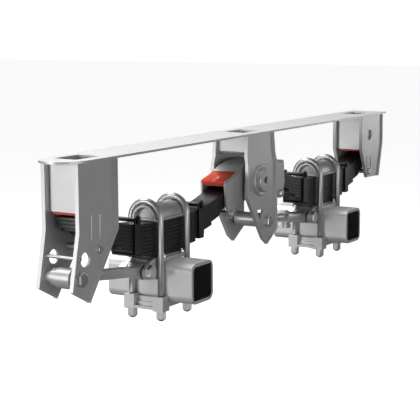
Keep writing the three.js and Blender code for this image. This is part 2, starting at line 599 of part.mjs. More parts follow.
function buildClamp(prefix, x, lift) {
  const up = (geometry) => geometry.translate(x, 0, lift);
  const padBase = PACK_TOP + GAP;
  // Saddle over the pack: a half-round back under the U-bolts, with hollow arched ends.
  const { half, radius, foot, footTall, endDeep, coreHalf, slotHalf, slotWide } = SADDLE;
  const dome = new THREE.Shape();
  dome.moveTo(-foot, padBase);
  dome.lineTo(foot, padBase);
  dome.lineTo(foot, padBase + footTall);
  dome.absarc(0, UBOLT.archZ, radius, 0, Math.PI, false);
  dome.lineTo(-foot, padBase + footTall);
  dome.closePath();
  const arch = new THREE.Shape();
  arch.absarc(0, UBOLT.archZ + SADDLE.archRise, SADDLE.arch, 0, Math.PI, false);
  arch.closePath();
  const padSlot = box(-slotHalf, slotHalf, -slotWide, slotWide, UBOLT.archZ + 20, UBOLT.archZ + 80);
  const legs = [-1, 1].flatMap((a) => [-1, 1].map((b) =>
    pinZ(UBOLT.rod + 1.2, -700, UBOLT.archZ + 5, a * UBOLT.legX, b * UBOLT.legY)));
  const hollows = [bar(arch, -half - 8, endDeep - half), bar(arch, half - endDeep, half + 8),
    bar(arch, -coreHalf, coreHalf)];
  const boltRoom = pinZ(14, padBase - 5, padBase + 20, 0, 0);
  add(`${prefix}_top_pad`, up(cut(bar(dome, -half, half), ...hollows, padSlot, boltRoom, ...legs)), STEEL);

  for (const [name, legX] of [["front", -UBOLT.legX], ["rear", UBOLT.legX]]) {
    const nuts = [-1, 1].map((side) => tallNut(legX, side * UBOLT.legY));
    add(`${prefix}_u_bolt_${name}`, up(join(uBolt(legX), ...nuts)), BRIGHT, 0.25, 0.9);
  }

  buildSeat(prefix, x, lift);
  const bottom = TUBE.top - TUBE.side;
  const bosses = [-1, 1].flatMap((a) => [-1, 1].map((b) => {
    const [bx, by] = [a * (UBOLT.legX + 1), b * UBOLT.legY];
    const reach = CLAMP.boss / 2;
    return box(bx - reach, bx + reach, by - reach, by + reach, CLAMP.bottom, CLAMP.top);
  }));
  const trough = box(-TUBE.side / 2 - GAP, TUBE.side / 2 + GAP, -THROUGH, THROUGH, bottom - GAP, -500);
  const floor = box(-90, 90, -UBOLT.legY, UBOLT.legY, CLAMP.bottom + 4, bottom - GAP);
  const rails = [-1, 1].map((a) => box(Math.min(a * 78, a * 110), Math.max(a * 78, a * 110),
    -UBOLT.legY, UBOLT.legY, CLAMP.bottom + 4, CLAMP.bottom + 14));
  const walls = [-1, 1].map((a) => box(Math.min(a * 77, a * 84), Math.max(a * 77, a * 84),
    -UBOLT.legY, UBOLT.legY, CLAMP.bottom + 4, CLAMP.top - 8));
  add(`${prefix}_clamp_plate`, up(cut(join(floor, ...bosses, ...rails, ...walls), trough, ...legs)), STEEL);
}

// Seat casting between the spring and the axle tube, with two ears for the torque arm.
function buildSeat(prefix, x, lift) {
  const top = PACK_TOP - PACK_HEIGHT - GAP;
  const base = TUBE.top + GAP;
  const arm = [AXLE_EYE.x, AXLE_EYE.z];
  const { half, width, cheekHalf, cheek, step, eye, hollow } = SEAT;
  const body = join(box(-half, half, -width, width, base, top),
    box(-cheekHalf, cheekHalf, -cheek, cheek, base, top - step));
  const ear = new THREE.Shape();
  ear.moveTo(-96, top);
  ear.lineTo(-126, top - 4);
  ear.lineTo(arm[0] - eye + 3, arm[1] + eye / 2);
  ear.absarc(arm[0], arm[1], eye, Math.PI * 0.83, Math.PI * 1.75, false);
  ear.lineTo(-104, -476);
  ear.lineTo(-78, -486);
  ear.lineTo(-78, top);
  ear.closePath();
  const wide = slab(ear, -EARS.outer, EARS.outer);
  const between = pinY(hollow, -EARS.inner, EARS.inner, ...arm);
  const gap = box(-240, arm[0], -EARS.inner, EARS.inner, -520, top + 10);
  const notches = [-1, 1].map((side) => {
    const [y0, y1] = side < 0 ? [-90, -width] : [width, 90];
    return box(-half - 1.5, 60, y0, y1, -600, top + 10);
  });
  const ears = cut(wide, between, gap, ...notches);
  const crown = box(-80, 80, -THROUGH, THROUGH, -600, base);
  const bores = [pinY(ARM_BOLT.radius + GAP, -90, 90, ...arm), pinZ(12, top - 14, top + 5, 0, 0)];
  add(`${prefix}_spring_seat`, cut(join(body, cut(ears, crown)), ...bores).translate(x, 0, lift), STEEL);
  const reach = EARS.outer + GAP;
  add(`${prefix}_arm_bolt`, boltY(ARM_BOLT.radius, ARM_BOLT.across, -reach, reach, ...arm)
    .translate(x, 0, lift), BRIGHT, 0.35, 0.7);
}

// A round section carried up one leg, round the arch and down the other leg.
function uBolt(x) {
  const arcSteps = 12;
  const sides = 10;
  const rings = [{ y: -UBOLT.legY, z: UBOLT.end, angle: 0 }];
  for (let i = 0; i <= arcSteps; i += 1) {
    const angle = Math.PI * i / arcSteps;
    rings.push({ y: -UBOLT.legY * Math.cos(angle), z: UBOLT.archZ + UBOLT.legY * Math.sin(angle), angle });
  }
  rings.push({ y: UBOLT.legY, z: UBOLT.end, angle: Math.PI });
  const vertices = [];
  for (const { y, z, angle } of rings) {
    for (let k = 0; k < sides; k += 1) {
      const turn = 2 * Math.PI * (k + 0.5) / sides;
      const side = UBOLT.rod * Math.sin(turn);
      vertices.push(x + UBOLT.rod * Math.cos(turn), y + side * Math.cos(angle), z - side * Math.sin(angle));
    }
  }
  const faces = [];
  const last = (rings.length - 1) * sides;
  for (let r = 0; r < rings.length - 1; r += 1) {
    for (let k = 0; k < sides; k += 1) {
      const [a, b] = [r * sides + k, r * sides + (k + 1) % sides];
      faces.push(a, b, b + sides, a, b + sides, a + sides);
    }
  }
  for (let k = 1; k < sides - 1; k += 1) {
    faces.push(0, k + 1, k);
    faces.push(last, last + k, last + k + 1);
  }
  const geometry = new THREE.BufferGeometry();
  geometry.setAttribute("position", new THREE.Float32BufferAttribute(vertices, 3));
  geometry.setIndex(faces);
  geometry.computeVertexNormals();
  return geometry;
}

// Tall hexagon nut with a rounded lower end.
function tallNut(x, y) {
  const top = CLAMP.bottom - GAP;
  const low = top - NUT.height;
  const radius = NUT.across / Math.sqrt(3);
  const body = new THREE.CylinderGeometry(radius, radius, NUT.height - 8, 6).rotateX(Math.PI / 2)
    .translate(x, y, top - (NUT.height - 8) / 2);
  const tip = new THREE.CylinderGeometry(NUT.across / 2, NUT.across / 2 - 7, 8.5, 12).rotateX(Math.PI / 2)
    .translate(x, y, low + 4);
  return join(body, tip);
}

// Square tube with a plug let into each end; a small drain hole pierces each plug.
function buildAxle(prefix, x, lift) {
  const middle = TUBE.top - TUBE.side / 2;
  const inner = () => roundedSquare(TUBE.side - 2 * TUBE.wall, TUBE.corner - TUBE.wall);
  const outer = roundedSquare(TUBE.side, TUBE.corner);
  const { recess, plug, drain } = TUBE;
  const hollows = [
    [TUBE.near - 5, TUBE.near + recess],
    [TUBE.near + recess + plug, TUBE.far - recess - plug],
    [TUBE.far - recess, TUBE.far + 5],
  ].map(([y0, y1]) => slab(inner(), y0, y1));
  const body = cut(slab(outer, TUBE.near, TUBE.far), ...hollows,
    pinY(drain, TUBE.near, TUBE.far, 0, -TUBE.side / 2 + TUBE.wall + 12, 8));
  add(`${prefix}_axle_tube`, body.translate(x, 0, middle + lift), STEEL);
}

buildTopPlate();
buildHangers();
buildEqualizer();
buildFrontArm();
buildRearArm();
for (const [prefix, x, lift] of [["front", -HALF_SPACING, 0], ["rear", HALF_SPACING, REAR_LIFT]]) {
  buildSpring(prefix, x, lift, Math.sign(x));
  buildClamp(prefix, x, lift);
  buildAxle(prefix, x, lift);
}

export default part;
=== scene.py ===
"""The looks of a tandem axle leaf spring suspension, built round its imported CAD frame.

Every piece is in metres, in the frame's own axes: +X to the rear, +Z up, and the near side is -Y.
"""

import json
import logging
import math
from dataclasses import dataclass
from enum import Enum
from typing import Callable, Iterable, Sequence, Union

import bmesh
import bpy
from mathutils import Matrix, Vector


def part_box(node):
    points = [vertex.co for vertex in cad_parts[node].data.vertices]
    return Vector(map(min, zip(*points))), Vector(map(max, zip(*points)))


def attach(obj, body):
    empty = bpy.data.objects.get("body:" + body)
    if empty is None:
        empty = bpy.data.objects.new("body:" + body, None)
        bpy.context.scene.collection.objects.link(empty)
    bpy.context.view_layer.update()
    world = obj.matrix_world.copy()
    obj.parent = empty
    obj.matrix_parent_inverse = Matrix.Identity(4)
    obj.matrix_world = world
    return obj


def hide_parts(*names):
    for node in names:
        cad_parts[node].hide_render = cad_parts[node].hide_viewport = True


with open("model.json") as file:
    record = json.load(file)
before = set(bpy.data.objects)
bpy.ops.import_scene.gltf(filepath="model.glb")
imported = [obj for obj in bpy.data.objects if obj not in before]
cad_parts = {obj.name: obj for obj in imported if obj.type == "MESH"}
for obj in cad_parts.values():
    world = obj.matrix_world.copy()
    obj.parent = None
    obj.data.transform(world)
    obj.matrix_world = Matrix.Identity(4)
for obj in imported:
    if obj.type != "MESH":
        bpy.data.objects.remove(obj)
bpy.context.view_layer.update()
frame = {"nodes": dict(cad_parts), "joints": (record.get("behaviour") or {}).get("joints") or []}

MM = 0.001
log = logging.getLogger("suspension")

Number = Union[int, float]
Point = tuple[float, float, float]


class Slot(Enum):
    """The record's material slots."""

    HANGER = "hanger_paint"
    CASTING = "cast_paint"
    AXLE = "axle_paint"
    ARM = "arm_paint"
    ROD = "plated_rod"
    FASTENER = "plated_fastener"
    SHAFT = "machined_steel"
    SPRING = "spring_black"
    PAD = "wear_pad"
    RUBBER = "bush_rubber"


class Body(Enum):
    """The bodies that the pieces ride on."""

    FRAME = "frame"
    EQUALIZER = "equalizer"
    FRONT_ARM = "front_arm"
    REAR_ARM = "rear_arm"
    REAR_ARM_END = "rear_arm_end"
    FRONT_AXLE = "front_axle"
    REAR_AXLE = "rear_axle"


# ---------------------------------------------------------------- shader expressions


class Wire:
    """A socket's value, which Python's operators join to others with Math nodes."""

    def __init__(self, graph: "Graph", socket: bpy.types.NodeSocket) -> None:
        """Wraps a socket.

        Args:
            graph: The graph that the socket is in.
            socket: The output socket.
        """
        self.graph = graph
        self.socket = socket

    def _math(self, operation: str, first: "Operand", second: "Operand") -> "Wire":
        """Adds one Math node and returns its value."""
        made = self.graph.node("ShaderNodeMath", {"operation": operation}, {0: first, 1: second})
        return Wire(self.graph, made.outputs[0])

    def __add__(self, other: "Operand") -> "Wire":
        """Sum."""
        return self._math("ADD", self, other)

    def __sub__(self, other: "Operand") -> "Wire":
        """Difference."""
        return self._math("SUBTRACT", self, other)

    def __rsub__(self, other: "Operand") -> "Wire":
        """Difference from a number."""
        return self._math("SUBTRACT", other, self)

    def __mul__(self, other: "Operand") -> "Wire":
        """Product."""
        return self._math("MULTIPLY", self, other)

    def __pow__(self, other: "Operand") -> "Wire":
        """Power."""
        return self._math("POWER", self, other)

    def sine(self) -> "Wire":
        """Sine."""
        return self._math("SINE", self, 0.0)

    __radd__ = __add__
    __rmul__ = __mul__


Operand = Union[Wire, Number, Sequence[float]]


class Graph:
    """One material's node tree."""

    def __init__(self, name: str) -> None:
        """Starts a material that holds one Principled shader.

        Args:
            name: The material's name.
        """
        self.material = bpy.data.materials.new(name)
        self.material.use_nodes = True
        self.tree = self.material.node_tree
        self.shader = self.tree.nodes["Principled BSDF"]
        self.place = self.node("ShaderNodeTexCoord").outputs["Object"]

    def node(self, kind: str, settings: dict | None = None, inputs: dict | None = None) -> bpy.types.Node:
        """Makes a node, sets it up and feeds it.

        Args:
            kind: The node's type.
            settings: Its properties; "stops" holds a colour ramp's (place, colour) pairs.
            inputs: Values or wires by socket name or number.

        Returns:
            The node.
        """
        made = self.tree.nodes.new(kind)
        for key, value in (settings or {}).items():
            if key == "stops":
                self._set_stops(made.color_ramp, value)
            else:
                setattr(made, key, value)
        for key, value in (inputs or {}).items():
            self.feed(made.inputs[key], value)
        return made

    @staticmethod
    def _set_stops(ramp: bpy.types.ColorRamp, stops: Sequence[tuple]) -> None:
        """Gives a colour ramp its stops."""
        while len(ramp.elements) < len(stops):
            ramp.elements.new(1.0)
        for element, (place, color) in zip(ramp.elements, stops):
            element.position = place
            element.color = (*color, 1.0)

    def feed(self, socket: bpy.types.NodeSocket, value: object) -> None:
        """Links a wire or a socket to an input, or sets the input's value."""
        if isinstance(value, Wire):
            self.tree.links.new(value.socket, socket)
        elif isinstance(value, bpy.types.NodeSocket):
            self.tree.links.new(value, socket)
        else:
            socket.default_value = value

    def noise(self, scale: float, detail: float = 2.0, stretch: Point = (1, 1, 1)) -> Wire:
        """Noise between 0 and 1.

        Args:
            scale: Waves per metre.
            detail: Octaves.
            stretch: Factors on the coordinates' three axes.

        Returns:
            The noise value.
        """
        mapped = self.node("ShaderNodeMapping", None, {"Vector": self.place, "Scale": stretch})
        made = self.node("ShaderNodeTexNoise", None,
                         {"Vector": mapped.outputs[0], "Scale": scale, "Detail": detail})
        return Wire(self, made.outputs[0])

    def specks(self, scale: float, share: float) -> Wire:
        """A mask of small irregular spots.

        Args:
            scale: Spots per metre, about.
            share: The share of the surface that they cover, about.

        Returns:
            The mask, 1 on the spots.
        """
        edge = 0.5 + (0.5 - share) * 0.45
        ramp = self.node("ShaderNodeValToRGB", {"stops": [(edge, (0, 0, 0)), (edge + 0.05, (1, 1, 1))]},
                         {0: self.noise(scale, 5.0)})
        return Wire(self, ramp.outputs[0])

    def blend(self, mask: Wire, first: Sequence[float], second: Sequence[float]) -> Wire:
        """Mixes two colours by a mask."""
        made = self.node("ShaderNodeMix", {"data_type": "RGBA"},
                         {"Factor": mask, "A": (*first, 1.0), "B": (*second, 1.0)})
        return Wire(self, made.outputs["Result"])

    def bump(self, height: Wire, strength: float, depth: float) -> None:
        """Feeds the shader's normal from a height."""
        made = self.node("ShaderNodeBump", None, {"Height": height, "Strength": strength, "Distance": depth})
        self.feed(self.shader.inputs["Normal"], made.outputs[0])

    def shade(self, **inputs: object) -> None:
        """Sets the Principled shader's inputs; underscores in the names stand for spaces."""
        for key, value in inputs.items():
            self.feed(self.shader.inputs[key.replace("_", " ").title().replace("Ior", "IOR")], value)


# ---------------------------------------------------------------- finishes


def scaled(color: Sequence[float], factor: float) -> tuple[float, float, float]:
    """A colour made lighter or darker."""
    return tuple(min(1.0, channel * factor) for channel in color)


@dataclass(frozen=True)
class Paint:
    """A sprayed coat on steel, with orange peel, cloudy tone and small dull spots."""

    name: str
    color: tuple[float, float, float]
    metallic: float = 0.55
    roughness: float = 0.36
    spread: float = 0.12
    clouds: float = 0.10
    peel: float = 0.12
    peel_scale: float = 420.0
    coat: float = 0.0
    coat_roughness: float = 0.1
    scuffed: float = 0.06

    def make(self) -> bpy.types.Material:
        """Builds the material.

        Returns:
            The material.
        """
        graph = Graph(self.name)
        cloud = graph.noise(9.0, 4.0)
        grain = graph.noise(1900.0, 1.0)
        tone = cloud * 0.8 + grain * 0.2
        dark, light = scaled(self.color, 1 - self.clouds), scaled(self.color, 1 + self.clouds)
        smudge = graph.noise(38.0, 5.0)
        scuffs = graph.specks(75.0, self.scuffed)
        graph.shade(
            base_color=graph.blend(tone, dark, light),
            metallic=self.metallic,
            roughness=smudge * self.spread + scuffs * 0.10 + (self.roughness - self.spread / 2),
            coat_weight=self.coat,
            coat_roughness=self.coat_roughness,
        )
        graph.bump(graph.noise(self.peel_scale, 2.0) + grain * 0.3, self.peel, 0.0004)
        return graph.material


@dataclass(frozen=True)
class DrawnSteel:
    """Bright plated rod or bolt, with fine lines along one axis."""

    name: str
    color: tuple[float, float, float]
    roughness: float = 0.25
    lines: Point = (1, 1, 0.04)
    stain: float = 0.12

    def make(self) -> bpy.types.Material:
        """Builds the material.

        Returns:
            The material.
        """
        graph = Graph(self.name)
        streak = graph.noise(900.0, 2.0, self.lines)
        stain = graph.noise(24.0, 4.0)
        graph.shade(
            base_color=graph.blend(stain, scaled(self.color, 1 - self.stain), self.color),
            metallic=1.0,
            roughness=streak * 0.12 + stain * 0.10 + (self.roughness - 0.11),
        )
        graph.bump(streak, 0.05, 0.0001)
        return graph.material


@dataclass(frozen=True)
class TurnedSteel:
    """Steel faced on a lathe, with rings round an axis along Y."""

    name: str
    color: tuple[float, float, float]
    centre: tuple[float, float]
    pitch: float = 0.0011

    def make(self) -> bpy.types.Material:
        """Builds the material.

        Returns:
            The material.
        """
        graph = Graph(self.name)
        parts = graph.node("ShaderNodeSeparateXYZ", None, {0: graph.place})
        across = Wire(graph, parts.outputs["X"]) - self.centre[0]
        height = Wire(graph, parts.outputs["Z"]) - self.centre[1]
        reach = (across * across + height * height) ** 0.5
        wobble = graph.noise(60.0, 3.0)
        rings = (reach * (2 * math.pi / self.pitch) + wobble * 2.0).sine()
        graph.shade(
            base_color=graph.blend(wobble, scaled(self.color, 0.88), self.color),
            metallic=0.9,
            roughness=rings * 0.04 + wobble * 0.12 + 0.30,
        )
        graph.bump(rings, 0.10, 0.0002)
        return graph.material


@dataclass(frozen=True)
class Rubber:
    """Matt black rubber with a fine grain."""

    name: str
    color: tuple[float, float, float] = (0.018, 0.018, 0.018)

    def make(self) -> bpy.types.Material:
        """Builds the material.

        Returns:
            The material.
        """
        graph = Graph(self.name)
        dust = graph.noise(30.0, 5.0)
        graph.shade(base_color=graph.blend(dust, self.color, scaled(self.color, 2.2)),
                    roughness=dust * 0.2 + 0.6)
        graph.bump(graph.noise(1200.0, 2.0), 0.2, 0.0003)
        return graph.material


SHEET = 8 * MM  # hanger side plates
PIVOT_PLACE = next(Vector(joint["pos_m"]) for joint in frame["joints"] if joint["name"] == "equalizer_pivot")
SILVER = (0.60, 0.605, 0.61)
FINISHES = {
    "silver": Paint("silver_paint", SILVER, metallic=0.45),
    "casting": Paint("casting_paint", scaled(SILVER, 0.97), roughness=0.42, peel=0.35, peel_scale=260.0),
    "tube": Paint("tube_paint", scaled(SILVER, 1.05), metallic=0.35, roughness=0.34),
    "arm": Paint("arm_paint", scaled(SILVER, 0.94), roughness=0.36),
    "weld": Paint("weld_paint", scaled(SILVER, 0.92), roughness=0.40, peel=0.3, peel_scale=500.0),
    "black": Paint("spring_enamel", (0.006, 0.0063, 0.007), metallic=0.0, roughness=0.40, spread=0.14,
                   clouds=0.3, peel=0.10, peel_scale=240.0, coat=0.15, coat_roughness=0.25),
    "plug": Paint("plug_black", (0.010, 0.011, 0.011), metallic=0.0, roughness=0.5, clouds=0.25, peel=0.1),
    "red": Paint("wear_pad_red", (0.42, 0.035, 0.02), metallic=0.0, roughness=0.42, clouds=0.18, peel=0.2),
    "label": Paint("label_red", (0.86, 0.10, 0.045), metallic=0.0, roughness=0.30, clouds=0.06, peel=0.05,
                   peel_scale=700.0),
    "rod": DrawnSteel("plated_rod", (0.72, 0.725, 0.73), roughness=0.40, stain=0.14),
    "fastener": DrawnSteel("plated_fastener", (0.70, 0.71, 0.72), roughness=0.30, lines=(1, 0.05, 1)),
    "nut": DrawnSteel("plated_nut", (0.62, 0.625, 0.62), roughness=0.36),
    "shaft": TurnedSteel("turned_shaft", (0.66, 0.665, 0.67), (PIVOT_PLACE.x, PIVOT_PLACE.z)),
    "rubber": Rubber("bush_rubber"),
}
MATERIALS = {key: finish.make() for key, finish in FINISHES.items()}


# ---------------------------------------------------------------- shaping


def of_kind(geom: Iterable, kind: type) -> list:
    """The corners, edges or faces among what a mesh tool returned.

    Args:
        geom: The returned items.
        kind: The wanted class.

    Returns:
        The items of that class.
    """
    return [item for item in geom if isinstance(item, kind)]


VERT, EDGE = bmesh.types.BMVert, bmesh.types.BMEdge


class Form:
    """A mesh in the making, with the shaping steps that the pieces share."""

    def __init__(self) -> None:
        """Starts an empty mesh."""
        self.bm = bmesh.new()

    @classmethod
    def of_node(cls, node: str) -> "Form":
        """Copies a CAD node's mesh, merged and with its flat faces made whole.

        Args:
            node: The CAD node.

        Returns:
            The form.
        """
        form = cls()
        form.bm.from_mesh(frame["nodes"][node].data)
        bmesh.ops.remove_doubles(form.bm, verts=form.bm.verts, dist=0.02 * MM)
        bmesh.ops.dissolve_limit(form.bm, angle_limit=math.radians(0.4), verts=form.bm.verts,
                                 edges=form.bm.edges, use_dissolve_boundaries=False)
        return form

    def rounded(self, place: Sequence[float], radius: float, axis: int = 1, cuts: int = 3,
                stretch: tuple[float, float] = (1.0, 1.0), where: Callable | None = None) -> "Form":
        """Turns the sides of a many-sided hole or boss into a finer round.

        Args:
            place: The two coordinates of the round's axis, in the order of the remaining axes.
            radius: The radius of the corners.
            axis: The axis that the round runs along.
            cuts: New corners on each side.
            stretch: Factors that turn the round into an ellipse.
            where: A test that limits the step to some corners.

        Returns:
            This form.
        """
        first, second = [i for i in range(3) if i != axis]

        def offset(co: Vector) -> Vector:
            """From the axis to a corner, with the ellipse made round."""
            return Vector(((co[first] - place[0]) / stretch[0], (co[second] - place[1]) / stretch[1]))

        def on_round(vert: bmesh.types.BMVert) -> bool:
            """Whether a corner lies on the round."""
            return abs(offset(vert.co).length - radius) < 0.06 * MM and (where is None or where(vert.co))

        sides = [edge for edge in self.bm.edges
                 if abs(edge.verts[0].co[axis] - edge.verts[1].co[axis]) < 0.02 * MM
                 and all(on_round(vert) for vert in edge.verts)]
        made = bmesh.ops.subdivide_edges(self.bm, edges=sides, cuts=cuts, use_grid_fill=True)
        for vert in of_kind(made["geom_inner"], VERT):
            away = offset(vert.co)
            if radius * 0.7 < away.length < radius * 1.001:
                away *= radius / away.length
                vert.co[first] = place[0] + away.x * stretch[0]
                vert.co[second] = place[1] + away.y * stretch[1]
        return self

    def bevel_where(self, test: Callable[[Vector, Vector], bool], width: float, segments: int = 4) -> "Form":
        """Rounds the edges whose two ends pass a test.

        Args:
            test: Called with an edge's two ends.
            width: The bevel's width.
            segments: Its number of strips.

        Returns:
            This form.
        """
        edges = [edge for edge in self.bm.edges
                 if edge.is_manifold and edge.calc_face_angle(0.0) > 0.5
                 and test(edge.verts[0].co, edge.verts[1].co)]
        bmesh.ops.bevel(self.bm, geom=edges, offset=width, offset_type="OFFSET", segments=segments,
                        profile=0.5, affect="EDGES", clamp_overlap=True, material=-1)
        return self

    def faced_out(self) -> "Form":
        """Turns every face outward."""
        bmesh.ops.recalc_face_normals(self.bm, faces=self.bm.faces)
        return self

    def box(self, low: Sequence[float], high: Sequence[float]) -> "Form":
        """Adds a box between two corners."""
        size = Vector(high) - Vector(low)
        centre = (Vector(high) + Vector(low)) / 2
        place = Matrix.Translation(centre) @ Matrix.Diagonal((*size, 1))
        bmesh.ops.create_cube(self.bm, size=1.0, matrix=place)
        return self

    def drum(self, radius: float, start: Sequence[float], end: Sequence[float], segments: int = 48,
             taper: float | None = None, turn: float = 0.0) -> "Form":
        """Adds a round or many-sided bar between two points.

        Args:
            radius: Its corner radius.
            start: Its first end's centre.
            end: Its last end's centre.
            segments: Its number of sides.
            taper: The last end's radius, if it differs.
            turn: A turn about its own axis, in radians.

        Returns:
            This form.
        """
        start, end = Vector(start), Vector(end)
        along = end - start
        place = (Matrix.Translation((start + end) / 2) @ along.to_track_quat("Z", "Y").to_matrix().to_4x4()
                 @ Matrix.Rotation(turn, 4, "Z"))
        bmesh.ops.create_cone(self.bm, cap_ends=True, segments=segments, radius1=radius,
                              radius2=radius if taper is None else taper, depth=along.length, matrix=place)
        return self

    def lathe(self, profile: Sequence[tuple[float, float]], centre: Sequence[float], axis: Sequence[float],
              steps: int = 72) -> "Form":
        """Turns a closed profile round an axis.

        Args:
            profile: Points as (distance along the axis, radius).
            centre: A point on the axis.
            axis: The axis' direction.
            steps: Steps in the full turn.

        Returns:
            This form.
        """
        axis = Vector(axis).normalized()
        side = axis.orthogonal().normalized()
        centre = Vector(centre)
        verts = [self.bm.verts.new(centre + axis * along + side * radius) for along, radius in profile]
        edges = [self.bm.edges.new((verts[i], verts[(i + 1) % len(verts)])) for i in range(len(verts))]
        bmesh.ops.spin(self.bm, geom=verts + edges, cent=centre, axis=axis, angle=2 * math.pi,
                       steps=steps, use_merge=True, use_duplicate=False)
        bmesh.ops.remove_doubles(self.bm, verts=self.bm.verts, dist=0.005 * MM)
        return self.faced_out()

    def capsule(self, start: Sequence[float], end: Sequence[float], radius: float, flatten: Point) -> "Form":
        """Adds a long bead with round ends.

        Args:
            start: The centre of one round end.
            end: The centre of the other.
            radius: Its radius.
            flatten: Factors on its thickness along X, Y and Z.

        Returns:
            This form.
        """
        start, end = Vector(start), Vector(end)
        middle, reach = (start + end) / 2, (end - start) / 2
        made = bmesh.ops.create_uvsphere(self.bm, u_segments=20, v_segments=12, radius=radius)
        for vert in made["verts"]:
            shift = reach * (1 if vert.co.dot(reach) > 0 else -1)
            vert.co = middle + shift + Vector(a * b for a, b in zip(vert.co, flatten))
        return self

    def weld_bead(self, start: Sequence[float], end: Sequence[float], radius: float) -> "Form":
        """Adds a weld bead: a round bar whose thickness ripples from one puddle to the next.

        Args:
            start: Where the bead starts.
            end: Where it ends.
            radius: Its mean radius.

        Returns:
            This form.
        """
        start, end = Vector(start), Vector(end)
        along = end - start
        turn = along.to_track_quat("Z", "Y").to_matrix().to_4x4()
        count = max(4, int(along.length / (radius * 0.5)))
        ring = bmesh.ops.create_circle(self.bm, cap_ends=True, segments=10, radius=radius * 0.4,
                                       matrix=Matrix.Translation(start) @ turn)["verts"]
        edges = list({edge for vert in ring for edge in vert.link_edges})
        swell = 0.4
        for i in range(1, count + 1):
            wanted = 0.4 if i == count else (1.0 if i % 2 else 0.82)
            made = bmesh.ops.extrude_edge_only(self.bm, edges=edges)["geom"]
            ring = of_kind(made, VERT)
            edges = of_kind(made, EDGE)
            centre = start + along * (i - 1) / count
            for vert in ring:
                vert.co = centre + (vert.co - centre) * (wanted / swell) + along / count
            swell = wanted
        bmesh.ops.contextual_create(self.bm, geom=edges)
        return self.faced_out()

    def piece(self, name: str, body: Body, slot: Slot, finish: str, bevel: float = 0.0,
              replaces: Iterable[str] = (), angle: float = 32.0) -> bpy.types.Object:
        """Turns the mesh into a finished object that rides on its body.

        Args:
            name: The object's name.
            body: The body that it rides on.
            slot: The record's material slot; not used.
            finish: The finish's key.
            bevel: The width of the rounding on its sharp edges.
            replaces: CAD nodes that it stands for.
            angle: The smallest angle between two faces that counts as a sharp edge, in degrees.

        Returns:
            The object.
        """
        for face in self.bm.faces:
            face.smooth = True
        mesh = bpy.data.meshes.new(name)
        self.bm.to_mesh(mesh)
        self.bm.free()
        obj = bpy.data.objects.new(name, mesh)
        bpy.context.scene.collection.objects.link(obj)
        mesh.materials.append(MATERIALS[finish])
        if bevel:
            rounding = obj.modifiers.new("rounded edges", "BEVEL")
            rounding.width = bevel
            rounding.segments = 3
            rounding.limit_method = "ANGLE"
            rounding.angle_limit = math.radians(angle)
            rounding.miter_outer = "MITER_ARC"
            normals = obj.modifiers.new("even shading", "WEIGHTED_NORMAL")
            normals.mode = "FACE_AREA"
        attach(obj, body.value)
        if replaces:
            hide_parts(*replaces)
        log.info("%s rides on %s, %d faces", name, body.value, len(mesh.polygons))
        return obj


def carve(obj: bpy.types.Object, cutter: Form) -> None:
    """Cuts a form out of an object and drops the form.

    Args:
        obj: The object; its own modifiers are left out of the cut and kept.
        cutter: The form to cut away.
    """
    mesh = bpy.data.meshes.new("cutter")
    cutter.bm.to_mesh(mesh)
    cutter.bm.free()
    tool = bpy.data.objects.new("cutter", mesh)
    bpy.context.scene.collection.objects.link(tool)
    others = list(obj.modifiers)
    cut_step = obj.modifiers.new("cut", "BOOLEAN")
    cut_step.operation = "DIFFERENCE"
    cut_step.solver = "EXACT"
    cut_step.object = tool
    obj.modifiers.move(len(obj.modifiers) - 1, 0)
    for other in others:
        other.show_viewport = False
    bpy.context.view_layer.update()
    evaluated = obj.evaluated_get(bpy.context.evaluated_depsgraph_get())
    obj.data = bpy.data.meshes.new_from_object(evaluated)
    obj.modifiers.remove(obj.modifiers["cut"])
    for other in obj.modifiers:
        other.show_viewport = True
    bpy.data.objects.remove(tool)


def refine(node: str, body: Body, slot: Slot, finish: str, bevel: float = 0.0,
           rounds: Iterable[tuple] = (), **options: object) -> bpy.types.Object:
    """Stands a smoother copy of a CAD node in its place.

    Args:
        node: The CAD node, whose name the copy takes with "_shape" added.
        body: The body it rides on.
        slot: The record's material slot.
        finish: The finish's key.
        bevel: The rounding of its sharp edges.
        rounds: (x, z, radius) of each round along Y that is made finer.
        options: Further options of Form.piece.

    Returns:
        The object.
    """
    form = Form.of_node(node)
    for x, z, radius in rounds:
        form.rounded((x, z), radius)
    return form.piece(node + "_shape", body, slot, finish, bevel, [node], **options)


def middle(node: str) -> Vector:
    """The centre of a CAD node's box."""
    low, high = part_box(node)
    return (low + high) / 2


# ---------------------------------------------------------------- fasteners


